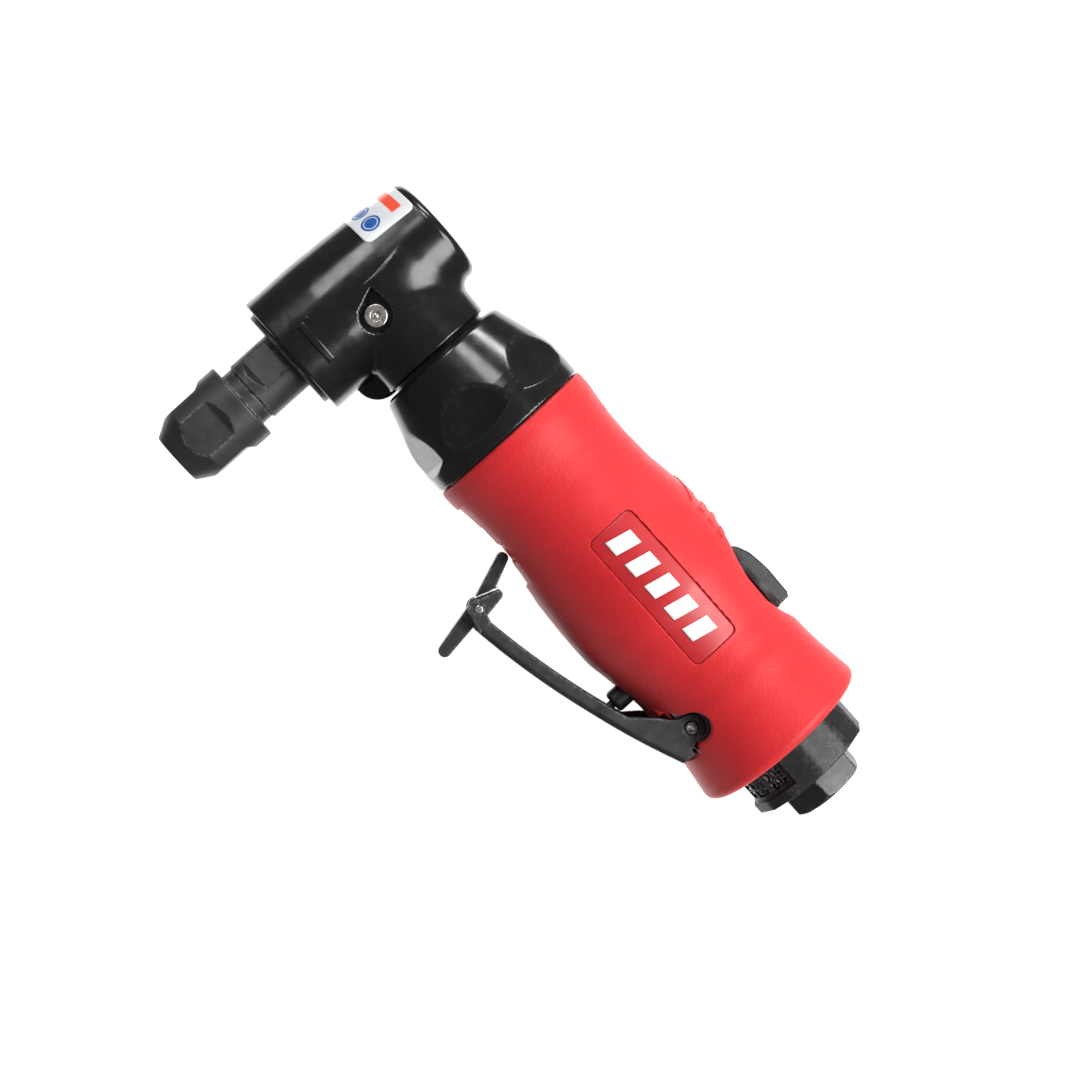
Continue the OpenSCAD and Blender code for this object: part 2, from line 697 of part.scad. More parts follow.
module lock_latch() color("#141517") translate([0, handle_axis_y, -latch_half]) difference() {
    union() {
        linear_extrude(2 * latch_half) polygon(bar([latch_x, -latch_drop], [63.8, -19.75], 1.7, 1.3));
        linear_extrude(2 * latch_half) polygon(bar([latch_x, -latch_drop], [70.5, -42.9], 2, 1.4));
    }
    translate([latch_x, -latch_drop, -1]) cylinder(r = latch_pin_r + run, h = 10);
}

// a tube of radius r swept along points that lie in a helix
module coil(radius, wire, height, turns) {
    sides = 8;
    per_turn = 14;
    count = turns * per_turn;
    pts = [
        for (i = [0:count])
            let (a = 360 * i / per_turn, z = height * i / count)
            for (j = [0:sides - 1])
                let (b = 360 * j / sides, r = radius + wire * cos(b))
                [r * cos(a), r * sin(a), z + wire * sin(b)]
    ];
    sides_faces = [
        for (i = [0:count - 1], j = [0:sides - 1])
            let (k = (j + 1) % sides)
            [i * sides + j, i * sides + k, (i + 1) * sides + k, (i + 1) * sides + j]
    ];
    first = [[for (j = [sides - 1:-1:0]) j]];
    last = [[for (j = [0:sides - 1]) count * sides + j]];
    polyhedron(pts, concat(sides_faces, first, last));
}

module latch_spring() color("#d0d0cc") {
    wire = 0.28;
    translate([latch_x, latch_y, 2.75]) coil(1.35, wire, 1.9, 3);
    // legs, a long one along the latch and a short one on the cheek
    translate([latch_x - 1.3, latch_y, 4.6]) rotate([-90, 0, 8]) cylinder(r = wire, h = 5.6);
    translate([latch_x - 1.35, latch_y + 0.4, 2.75]) rotate([90, 0, 12]) cylinder(r = wire, h = 1.2);
}

module valve_bushing() color("#a98d52") on_valve(-18.4) difference() {
    cylinder(r = valve_bore_r - gap, h = 18.4 + spring_seat - 0.6);
    translate([0, 0, -1]) cylinder(r = stem_r + 0.08, h = 20);
    translate([0, 0, 4]) cylinder(r = 3.4, h = 3.6);
    translate([-6, 0, 5.8]) rotate([0, 90, 0]) cylinder(r = 1.3, h = 12);
}

// button, stem and head of the throttle valve
module valve_stem() color("#0f1012") {
    on_valve(-23.2) {
        translate([0, 0, 0.8]) cylinder(r = stem_r, h = 8);
        cylinder(r1 = 1.9, r2 = stem_r, h = 0.81);
        translate([0, 0, 8.7]) cylinder(r = 1.4, h = 8);
    }
    on_valve(-25.5) cylinder(r = 1, h = 2.75);
    on_valve(spring_seat) cylinder(r = 3.5, h = 2);
}

module valve_seal() color("#2a2a2a") on_valve(spring_seat - 0.55) ring(3.4, 1.4 + gap, 0.52);

module valve_spring() color("#cfcfcb") on_valve(spring_seat + 2.55) coil(2.6, 0.35, 7.4, 6);

module regulator_spool() color("#b08f4f") on_valve(-3) difference() {
    union() {
        cylinder(r = valve_bore_r - 0.08, h = 19.2);
        translate([0, 0, 19.1]) cylinder(r = 2.4, h = 2.4);
    }
    translate([0, 0, -1]) cylinder(r = 3.6, h = 6.2);
    // window that opens the air inlet
    translate([0, -6, -1]) cube([8, 12, 6.2]);
    translate([0, 0, 10]) ring(6, 3.4, 1.6);
    translate([0, 0, 16]) cylinder(r = 1, h = 8);
}

module regulator_seal() color("#2a2a2a") on_valve(7.8)
    rotate_extrude() translate([3.9, 0]) circle(r = 0.44, $fn = 24);

// ring screwed into the housing over the spool's shoulder
module regulator_retainer() color("#77797c") on_valve(16.35) ring(6.1, 2.7, 0.7);

module knob_screw() color("#3c3d40") on_valve(15) {
    cylinder(r = 0.95, h = 6);
    difference() {
        translate([0, 0, 5.6]) cylinder(r = 1.9, h = 1.3);
        translate([0, 0, 6.2]) cylinder(r = 1, h = 2, $fn = 6);
    }
}

// round base with an arched pointer across it, higher at its +X end
module regulator_knob() color("#1a1b1d") on_valve(knob_base) difference() {
    union() {
        cylinder(r = knob_r, h = 1.5);
        intersection() {
            cylinder(r = knob_r, h = 8);
            translate([0, 3.4, 0]) rotate([90, 0, 0]) linear_extrude(6.8) polygon([
                [-knob_r, 0], [0.3 - knob_r, 2.2], [-7.4, 3.2], [-4.8, 4.3], [-1.6, 4.8], [1, 5],
                [7.4, 4.8], [8.4, 4.2], [knob_r, 0]
            ]);
        }
    }
    translate([0, 0, -1]) cylinder(r = 2.4 + gap, h = 2.2);
    translate([0, 0, -1]) cylinder(r = 1, h = 8);
    translate([0, 0, 3.15]) cylinder(r = 2, h = 5);
}

// ---------- tail ----------

module muffler_felt() color("#4a4a46") on_handle(130.7) ring(17.3, 10.4, 4.2);

module muffler_screen() color("#9c9c98") on_handle(135.3) difference() {
    ring(12.9, 12.4, 8);
    for (i = [0:23], k = [0:3]) rotate(15 * i + 7.5 * (k % 2)) translate([10, 0, 1.4 + 1.75 * k])
        rotate([0, 90, 0]) cylinder(r = 0.6, h = 5, $fn = 8);
}

// twelve flats all round, set back to a thin wall behind a rim where the windows are
module exhaust_deflector() color("#141518") on_handle(deflector_start) difference() {
    length = deflector_end - deflector_start;
    wall_r = 13.8;
    rim = 2.6;
    columns = 4;
    column_step = 24.4;
    first_column = 215.4;
    window = [4.4, 1.9];    // width round the wall and height along the handle
    intersection() {
        rotate(-3) cylinder(r = deflector_r, h = length, $fn = 12);
        union() {
            cylinder(r = deflector_r - 0.1, h = length - 0.5);
            translate([0, 0, length - 0.51])
                cylinder(r1 = deflector_r - 0.1, r2 = deflector_r - 0.6, h = 0.51);
        }
    }
    translate([0, 0, -1]) cylinder(r = 13.3, h = length - 0.6);
    cylinder(r = 8.5, h = 20);
    // wall set back round the windows
    difference() {
        translate([0, 0, -1]) linear_extrude(length - rim + 1) polygon(concat(
            [[0, 0]],
            arc(0, 0, 20, first_column - 14, first_column + column_step * (columns - 1) + 14, 8)
        ));
        translate([0, 0, -2]) cylinder(r = wall_r, h = length);
    }
    for (i = [0:columns - 1], k = [0, 1]) rotate(first_column + column_step * i)
        translate([10, -window[0] / 2, 1.25 + 2.35 * k]) cube([8, window[0], window[1]]);
}

module inlet_bushing() color("#1b1c1e") on_handle() difference() {
    neck = 8.42;
    corner = inlet_flats / 2 / cos(30);
    hex_start = deflector_end + 0.3;
    union() {
        translate([0, 0, 118]) cylinder(r = 8.25, h = 14);
        translate([0, 0, 131.9]) cylinder(r = neck - 0.05, h = 4);
        translate([0, 0, 135]) cylinder(r = neck, h = hex_start + 0.1 - 135);
        intersection() {
            translate([0, 0, hex_start]) rotate(11)
                cylinder(r = corner, h = inlet_end - hex_start, $fn = 6);
            rotate_extrude() polygon([
                [0, deflector_end], [8.9, hex_start], [9.6, hex_start + 0.6],
                [9.6, inlet_end - 0.9], [8.5, inlet_end], [0, inlet_end]
            ]);
        }
    }
    translate([0, 0, 117]) cylinder(r = 4.4, h = 40);
    translate([0, 0, screen_start - 0.05]) cylinder(r = inlet_r - 0.27, h = 2);
    translate([0, 0, 139]) cylinder(r = inlet_r, h = 20);
}

module inlet_screen() color("#b9b9b4") on_handle(screen_start) difference() {
    cylinder(r = inlet_r - 0.3, h = 1);
    for (x = [-3.6:1.2:3.6], y = [-3.6:1.2:3.6]) if (norm([x, y]) < 4.3)
        translate([x, y, -1]) cylinder(r = 0.4, h = 3, $fn = 8);
}

module inlet_seal() color("#2a2a2a") on_handle(117.6) ring(7.9, 4.6, 0.35);

angle_head();
bearing_cap();
spindle_seal();
lower_bearing_outer();
upper_bearing_outer();
pinion_bearing_outer();
pinion_bearing_nut();
grease_fitting();
neck_plug();
head_label();
coupling_nut();
nut_retainer();
motor_housing();
motor_clamp_ring();
front_end_plate();
front_bearing_outer();
motor_cylinder();
dowel_pin();
rear_end_plate();
rear_bearing_outer();
grip_sleeve();
nameplate();
nameplate_bars();
lever_pin();
valve_bushing();
valve_spring();
regulator_retainer();
muffler_felt();
muffler_screen();
inlet_bushing();
inlet_screen();
inlet_seal();
spindle();
spindle_gear();
lower_bearing_inner();
upper_bearing_inner();
collet();
collet_nut();
pinion();
pinion_bearing_inner();
rotor();
rotor_blades();
front_bearing_inner();
rear_bearing_inner();
throttle_lever();
latch_pin();
latch_spring();
lock_latch();
valve_stem();
valve_seal();
regulator_knob();
regulator_spool();
regulator_seal();
knob_screw();
exhaust_deflector();
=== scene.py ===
"""Looks of a right-angle air die grinder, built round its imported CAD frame.

Shapes are signed-distance fields in millimetres in the part's frame: +X along the handle,
+Y along the spindle, +Z up. A surface mesher turns each field into one closed mesh.
"""
import json
import math
from itertools import product

import bmesh
import bpy
import numpy as np
from mathutils import Matrix, Vector


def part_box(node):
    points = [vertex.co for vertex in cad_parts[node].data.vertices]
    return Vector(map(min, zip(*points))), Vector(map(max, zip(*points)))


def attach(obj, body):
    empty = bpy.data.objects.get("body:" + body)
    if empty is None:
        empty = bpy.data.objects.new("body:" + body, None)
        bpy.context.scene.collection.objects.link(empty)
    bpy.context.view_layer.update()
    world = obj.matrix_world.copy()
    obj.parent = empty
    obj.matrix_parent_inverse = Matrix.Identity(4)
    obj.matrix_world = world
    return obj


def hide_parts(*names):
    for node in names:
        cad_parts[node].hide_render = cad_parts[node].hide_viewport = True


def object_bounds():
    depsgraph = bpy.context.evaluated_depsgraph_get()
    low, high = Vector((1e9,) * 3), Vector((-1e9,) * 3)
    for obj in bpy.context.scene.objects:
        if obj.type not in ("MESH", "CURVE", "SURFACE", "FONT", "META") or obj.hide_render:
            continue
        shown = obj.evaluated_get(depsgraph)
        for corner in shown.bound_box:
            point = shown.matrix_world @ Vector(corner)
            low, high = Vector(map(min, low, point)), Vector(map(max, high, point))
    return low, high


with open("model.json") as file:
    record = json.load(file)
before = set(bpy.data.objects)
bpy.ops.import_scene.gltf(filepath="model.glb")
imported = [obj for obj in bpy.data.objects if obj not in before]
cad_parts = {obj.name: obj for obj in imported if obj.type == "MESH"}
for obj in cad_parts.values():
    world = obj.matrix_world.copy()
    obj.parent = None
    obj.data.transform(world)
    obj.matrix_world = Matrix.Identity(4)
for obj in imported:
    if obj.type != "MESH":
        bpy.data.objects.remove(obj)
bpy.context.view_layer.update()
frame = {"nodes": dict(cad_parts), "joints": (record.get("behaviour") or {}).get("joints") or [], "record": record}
MM = 0.001
joints = {j["name"]: j for j in frame["joints"]}
slots = {s["node"]: s["material_slot"] for s in frame["record"]["subparts"]}


def box(node):
    return [np.array(c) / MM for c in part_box(node)]


AXIS = joints["rotor_spin"]["pos_m"][1] / MM
PIVOT = (joints["lever_press"]["pos_m"][0] / MM, joints["lever_press"]["pos_m"][1] / MM - AXIS)
LATCH = (joints["latch_fold"]["pos_m"][0] / MM, joints["latch_fold"]["pos_m"][1] / MM - AXIS)
VALVE_X = joints["regulator_turn"]["pos_m"][0] / MM


# ---------- fields ----------

def join(a, b, r):
    """Union of two fields with a fillet of radius r in the crease."""
    return np.maximum(r, np.minimum(a, b)) - np.hypot(np.maximum(r - a, 0), np.maximum(r - b, 0))


def meet(a, b, r):
    """Intersection of two fields with the edge rounded to radius r."""
    return np.minimum(-r, np.maximum(a, b)) + np.hypot(np.maximum(r + a, 0), np.maximum(r + b, 0))


def cut(a, b, r):
    return meet(a, -b, r)


def slab(v, low, high):
    return np.maximum(low - v, v - high)


def ramp(v, low, high):
    t = np.clip((v - low) / (high - low), 0, 1)
    return t * t * (3 - 2 * t)


def smoothed(points, width):
    """A curve through (position, value) points, its corners softened over width."""
    at, value = np.array(points, float).T
    fine = np.arange(at[0] - 4 * width, at[-1] + 4 * width, width / 10)
    kernel = np.exp(-np.linspace(-2, 2, 21) ** 2)
    padded = np.interp(np.concatenate([fine[:1].repeat(10), fine, fine[-1:].repeat(10)]), at, value)
    soft = np.convolve(padded, kernel / kernel.sum(), "valid")
    return lambda v: np.interp(v, fine, soft)


def turned(along, rho, points):
    """A solid of revolution through (position, radius) points, endless at both ends."""
    at, radius = np.array(points, float).T
    slope = np.diff(radius) / np.diff(at)
    steep = np.interp(along, (at[1:] + at[:-1]) / 2, slope)
    return (rho - np.interp(along, at, radius)) / np.sqrt(1 + steep ** 2)


def convex(u, v, points):
    """A convex outline, its corners anticlockwise."""
    out = -1e9
    for (a, b), (c, d) in zip(points, points[1:] + points[:1]):
        out = np.maximum(out, ((u - a) * (d - b) - (v - b) * (c - a)) / math.hypot(c - a, d - b))
    return out


def outline(u, v, points):
    """Signed distance to any closed outline."""
    near, inside = np.full(np.shape(u), 1e12), np.zeros(np.shape(u), bool)
    for (ax, ay), (bx, by) in zip(points, points[1:] + points[:1]):
        ex, ey, wx, wy = bx - ax, by - ay, u - ax, v - ay
        t = np.clip((wx * ex + wy * ey) / (ex * ex + ey * ey), 0, 1)
        near = np.minimum(near, (wx - t * ex) ** 2 + (wy - t * ey) ** 2)
        inside ^= ((ay > v) != (by > v)) & (u < ex * wy / (ey or 1e-12) + ax)
    return np.where(inside, -1, 1) * np.sqrt(near)


def bar(u, v, p, rp, q, rq):
    """A tapered bar with round ends."""
    dx, dy = q[0] - p[0], q[1] - p[1]
    t = np.clip(((u - p[0]) * dx + (v - p[1]) * dy) / (dx * dx + dy * dy), 0, 1)
    return np.hypot(u - p[0] - t * dx, v - p[1] - t * dy) - (rp + (rq - rp) * t)


def prism(u, v, count, apothem, turn, r):
    """A regular prism, its first flat facing the angle turn, in degrees from v towards u."""
    out = -1e9
    for i in range(count):
        a = math.radians(turn + 360 / count * i)
        out = meet(out, u * math.sin(a) + v * math.cos(a) - apothem, r)
    return out


def flats(shape, u, v, along, count, apothem, turn, end, rise, r):
    """Milled flats with a slanted run-out past end."""
    past = along - end
    limit = apothem + rise * 0.5 * (past + np.sqrt(past ** 2 + 0.04))
    for i in range(count):
        a = math.radians(turn + 360 / count * i)
        shape = meet(shape, (u * math.sin(a) + v * math.cos(a) - limit) * 0.85, r)
    return shape


# ---------- meshes ----------

def gradient(field, p, h=0.03):
    steps = np.eye(3) * h
    return np.stack([field(*(p + s).T) - field(*(p - s).T) for s in steps], 1) / (2 * h)


def settled(field, p, rounds):
    """Points moved onto the surface, along the field's gradient."""
    for _ in range(rounds):
        g = gradient(field, p)
        step = field(*p.T)[:, None] * g / np.maximum((g ** 2).sum(1), 0.25)[:, None]
        p = p - np.clip(step, -0.3, 0.3)
    return p


def surface(field, low, high, cell):
    """Points and quads of the surface where the field is 0, inside a box."""
    low = np.array(low, float) - 1.5 * cell
    axes = [np.arange(a, b + 1.5 * cell, cell) for a, b in zip(low, high)]
    shape = tuple(len(a) for a in axes)
    rough = field(*np.meshgrid(*[a[::2] for a in axes], indexing="ij"))
    value = rough
    for d in range(3):
        value = value.repeat(2, d)
    value = value[:shape[0], :shape[1], :shape[2]].copy()
    near = np.nonzero(np.abs(value) < 3.6 * cell)
    value[near] = field(*[a[i] for a, i in zip(axes, near)])
    value[value == 0] = 1e-9
    n = [s - 1 for s in shape]
    corner = {c: value[c[0]:c[0] + n[0], c[1]:c[1] + n[1], c[2]:c[2] + n[2]] for c in product((0, 1), repeat=3)}
    count = sum((v < 0).astype(np.int8) for v in corner.values())
    cells = np.nonzero((count > 0) & (count < 8))
    number = np.full(count.shape, -1, np.int64)
    number[cells] = np.arange(len(cells[0]))
    at = {c: v[cells] for c, v in corner.items()}
    total, hits = np.zeros((len(cells[0]), 3)), np.zeros(len(cells[0]))
    for d, (p, q) in product(range(3), product((0, 1), repeat=2)):
        a, b = [p, q], [p, q]
        a.insert(d, 0)
        b.insert(d, 1)
        va, vb = at[tuple(a)], at[tuple(b)]
        cross = (va < 0) != (vb < 0)
        point = np.tile(np.array(a, float), (cross.sum(), 1))
        point[:, d] = va[cross] / (va[cross] - vb[cross])
        total[cross] += point
        hits[cross] += 1
    points = (np.stack(cells, 1) + total / hits[:, None]) * cell + low
    quads = []
    for d in range(3):
        here, there = [slice(1, -1)] * 3, [slice(1, -1)] * 3
        here[d], there[d] = slice(0, -1), slice(1, None)
        a, b = value[tuple(here)] < 0, value[tuple(there)] < 0
        changed = np.nonzero(a != b)
        where = np.stack(changed, 1) + [0 if k == d else 1 for k in range(3)]
        eu, ew = np.eye(3, dtype=int)[(d + 1) % 3], np.eye(3, dtype=int)[(d + 2) % 3]
        quad = np.stack([number[tuple(r.T)] for r in (where - eu - ew, where - ew, where, where - eu)], 1)
        back = ~a[changed]
        quad[back] = quad[back][:, ::-1]
        quads.append(quad)
    return points, np.concatenate(quads)


def mesh_from(name, points, faces, normals=None):
    mesh = bpy.data.meshes.new(name)
    mesh.from_pydata((np.asarray(points) * MM).tolist(), [], [list(f) for f in faces])
    mesh.polygons.foreach_set("use_smooth", np.ones(len(mesh.polygons), bool))
    mesh.validate()
    if normals is not None:
        mesh.normals_split_custom_set_from_vertices(normals.tolist())
    mesh.update()
    return mesh


def thinned(points, quads, keep):
    """The same surface with fewer triangles."""
    thin = bpy.data.objects.new("thinning", mesh_from("thinning", points, quads.tolist()))
    bpy.context.scene.collection.objects.link(thin)
    change = thin.modifiers.new("thin", "DECIMATE")
    change.ratio = keep
    done = thin.evaluated_get(bpy.context.evaluated_depsgraph_get()).to_mesh()
    out = np.zeros(len(done.vertices) * 3)
    done.vertices.foreach_get("co", out)
    faces = [list(p.vertices) for p in done.polygons]
    bpy.data.objects.remove(thin)
    return out.reshape(-1, 3) / MM, faces


def piece(name, mesh, body, look, nodes=()):
    """Puts a mesh in the scene as one piece of the tool, riding on a body, in place of CAD nodes."""
    obj = bpy.data.objects.new(name, mesh)
    bpy.context.scene.collection.objects.link(obj)
    mesh.materials.append(looks[look])
    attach(obj, body)
    if nodes:
        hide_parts(*nodes)
    return obj


def solid(node, field, low, high, cell, body, keep=1.0, look=None):
    """Replaces a CAD node by the surface of a field."""
    points, quads = surface(field, low, high, cell)
    points = settled(field, points, 2)
    faces = quads.tolist()
    if keep < 1:
        points, faces = thinned(points, quads, keep)
        points = settled(field, points, 2)
    g = gradient(field, points)
    steep = np.maximum(np.linalg.norm(g, axis=1), 1e-9)
    normals = g / steep[:, None]
    mesh = mesh_from(node, points, faces, normals)
    edge = mesh.attributes.new("edge", "FLOAT", "POINT")
    edge.data.foreach_set("value", np.clip((field(*(points - normals * 0.5).T) / steep + 0.5) / 0.15, 0, 1))
    return piece(node + "_shape", mesh, body, look or slots[node], [node])


def tube(path, r, sides=8):
    """Points and faces of a round wire along a path, with domed ends."""
    path = np.array(path, float)
    along = np.gradient(path, axis=0)
    along /= np.linalg.norm(along, axis=1)[:, None]
    side = np.cross(along[0], [0.3, 0.2, 0.93])
    rings = []
    for p, t in zip(path, along):
        side = side - t * side.dot(t)
        side /= np.linalg.norm(side)
        other = np.cross(t, side)
        a = np.arange(sides) * 2 * math.pi / sides
        rings.append(p + r * (np.cos(a)[:, None] * side + np.sin(a)[:, None] * other))
    first, last = path[0] - along[0] * r * 0.6, path[-1] + along[-1] * r * 0.6
    domes = [(rings[0] - path[0]) * 0.6 + path[0] - along[0] * r * 0.45]
    domes.append((rings[-1] - path[-1]) * 0.6 + path[-1] + along[-1] * r * 0.45)
    rings = [domes[0]] + rings + [domes[1]]
    points = np.concatenate(rings + [[first, last]])
    faces, n = [], len(rings)
    for i, j in product(range(n - 1), range(sides)):
        k = (j + 1) % sides
        faces.append((i * sides + j, i * sides + k, (i + 1) * sides + k, (i + 1) * sides + j))
    for j in range(sides):
        k = (j + 1) % sides
        faces.append((n * sides, k, j))
        faces.append((n * sides + 1, (n - 1) * sides + j, (n - 1) * sides + k))
    return points, faces


def merged(parts):
    """Several (points, faces) as one."""
    points, faces, n = [], [], 0
    for p, f in parts:
        points.append(p)
        faces += [tuple(i + n for i in face) for face in f]
        n += len(p)
    return np.concatenate(points), faces


def relief(place, low, high, left, right, foot, top, bevel, nu, nv):
    """A thin plate on a curved surface, between heights foot and top, with bevelled edges."""
    def spread(n, size):
        b = bevel / size
        inner = np.linspace(b, 1 - b, n)
        s = np.concatenate([[0, 0], inner, [1, 1]])
        h = np.concatenate([[foot, top - bevel], np.full(n, top), [top - bevel, foot]])
        return s, h
    sv, hv = spread(nv, high - low)
    su, hu = spread(nu, float(np.max(right(low + (high - low) * sv) - left(low + (high - low) * sv))))
    v = low + (high - low) * sv[None, :] + 0 * su[:, None]
    u = left(v) + (right(v) - left(v)) * su[:, None]
    over = place(u, v, np.minimum(hu[:, None], hv[None, :]))
    inner = (slice(1, -1), slice(1, -1))
    under = place(u[inner], v[inner], np.full(u[inner].shape, foot))

    def grid(a, b, flip):
        quad = [(i * b + j, (i + 1) * b + j, (i + 1) * b + j + 1, i * b + j + 1)
                for i, j in product(range(a - 1), range(b - 1))]
        return [q[::-1] for q in quad] if flip else quad
    a, b = u.shape
    parts = [(over.reshape(-1, 3), grid(a, b, False)), (under.reshape(-1, 3), grid(a - 2, b - 2, True))]
    return merged(parts)


def welded(name, points, faces):
    """A mesh with doubled points merged and its faces turned outwards."""
    mesh = mesh_from(name, points, faces)
    bm = bmesh.new()
    bm.from_mesh(mesh)
    bmesh.ops.remove_doubles(bm, verts=bm.verts, dist=2e-7)
    bmesh.ops.recalc_face_normals(bm, faces=bm.faces)
    bm.to_mesh(mesh)
    bm.free()
    for p in mesh.polygons:
        p.use_smooth = True
    return mesh


# ---------- materials ----------

def new(tree, kind, inputs=(), **settings):
    n = tree.nodes.new("ShaderNode" + kind)
    for key, value in settings.items():
        setattr(n, key, value)
    for key, value in dict(inputs).items():
        if isinstance(value, bpy.types.NodeSocket):
            tree.links.new(value, n.inputs[key])
        else:
            n.inputs[key].default_value = value
    return n


def maths(tree, operation, *values):
    return new(tree, "Math", enumerate(values), operation=operation).outputs[0]


def rescaled(tree, value, low, high, to_low, to_high):
    ends = {"From Min": low, "From Max": high, "To Min": to_low, "To Max": to_high}
    return new(tree, "MapRange", {"Value": value, **ends}).outputs[0]


def blended(tree, share, a, b):
    n = new(tree, "Mix", data_type="RGBA")
    for key, value in ((0, share), (6, a), (7, b)):
        if isinstance(value, bpy.types.NodeSocket):
            tree.links.new(value, n.inputs[key])
        else:
            n.inputs[key].default_value = value if key == 0 else (*value, 1)
    return n.outputs[2]


def noise(tree, place, size, detail=2.0, stretch=(1, 1, 1)):
    """Cloudy noise whose features are size mm across, divided by stretch along each axis."""
    if stretch != (1, 1, 1):
        place = new(tree, "VectorMath", {0: place, 1: stretch}, operation="MULTIPLY").outputs[0]
    return new(tree, "TexNoise", {"Vector": place, "Scale": 1 / size, "Detail": detail}).outputs[0]


def spots(tree, place, apart, r):
    """1 in round spots of radius r mm, one every few mm, else 0."""
    near = new(tree, "TexVoronoi", {"Vector": place, "Scale": 1 / apart}).outputs["Distance"]
    return rescaled(tree, near, r / apart, 0.6 * r / apart, 0, 1)


def pebbles(tree, place, size):
    """Rounded grains size mm across, 1 at the middle of each."""
    cells = new(tree, "TexVoronoi", {"Vector": place, "Scale": 1 / size, "Smoothness": 0.6}, feature="SMOOTH_F1")
    return rescaled(tree, cells.outputs["Distance"], 0.75, 0.05, 0, 1)


def material(name, dark, light, patch, rough, bumps, metallic=0.0, ior=1.5, specks=(), worn=0.0, worn_to=(0.3,) * 3,
             dust=0.0, sheen=0.0, coat=0.0):
    """A surface whose colour drifts between dark and light over patch mm, and its roughness over a third of that.

    bumps: (kind, size in mm, height in mm, stretch). specks: (apart, radius, colour)."""
    m = bpy.data.materials.new(name)
    m.use_nodes = True
    tree = m.node_tree
    shader = tree.nodes["Principled BSDF"]
    shader.inputs["Metallic"].default_value = metallic
    shader.inputs["IOR"].default_value = ior
    shader.inputs["Coat Weight"].default_value = coat
    shader.inputs["Coat Roughness"].default_value = 0.12
    shader.inputs["Sheen Weight"].default_value = sheen
    shader.inputs["Sheen Roughness"].default_value = 0.5
    place = new(tree, "VectorMath", {0: new(tree, "TexCoord").outputs["Object"], 1: (1 / MM,) * 3},
                operation="MULTIPLY").outputs[0]
    drift = rescaled(tree, noise(tree, place, patch, 4), 0.3, 0.7, 0, 1)
    colour = blended(tree, drift, dark, light)
    roughness = rescaled(tree, noise(tree, place, patch / 3, 3), 0.3, 0.7, *rough)
    if worn:
        edge = new(tree, "Attribute", attribute_name="edge").outputs["Fac"]
        broken = maths(tree, "MULTIPLY", edge, rescaled(tree, noise(tree, place, 0.9, 4), 0.42, 0.62, 0, worn))
        colour = blended(tree, broken, colour, worn_to)
    for apart, r, shade in specks:
        colour = blended(tree, spots(tree, place, apart, r), colour, shade)
    if dust:
        settled_dust = rescaled(tree, noise(tree, place, 1.8, 6), 0.56, 0.8, 0, dust)
        colour = blended(tree, settled_dust, colour, (0.42, 0.41, 0.39))
        roughness = maths(tree, "ADD", roughness, settled_dust)
    normal = None
    for kind, size, height, stretch in bumps:
        source = noise(tree, place, size, 3, stretch) if kind == "noise" else pebbles(tree, place, size)
        inputs = {"Height": source, "Distance": height * MM, "Strength": 1.0}
        if normal is not None:
            inputs["Normal"] = normal
        normal = new(tree, "Bump", inputs).outputs[0]
    tree.links.new(colour, shader.inputs["Base Color"])
    tree.links.new(roughness, shader.inputs["Roughness"])
    if normal is not None:
        tree.links.new(normal, shader.inputs["Normal"])
    return m


def grey(v):
    return (v, v, v * 1.03)


EVEN = (1, 1, 1)
ROUND_Y = (0.12, 1, 0.12)       # marks that run round the spindle
ROUND_X = (1, 0.12, 0.12)       # marks that run round the handle


def turned_metal(name, dark, light, rough, stretch, ior=1.5):
    return material(name, dark, light, 5, rough, [("noise", 0.12, 0.006, stretch), ("noise", 0.5, 0.006, EVEN)],
                    metallic=1.0, ior=ior)


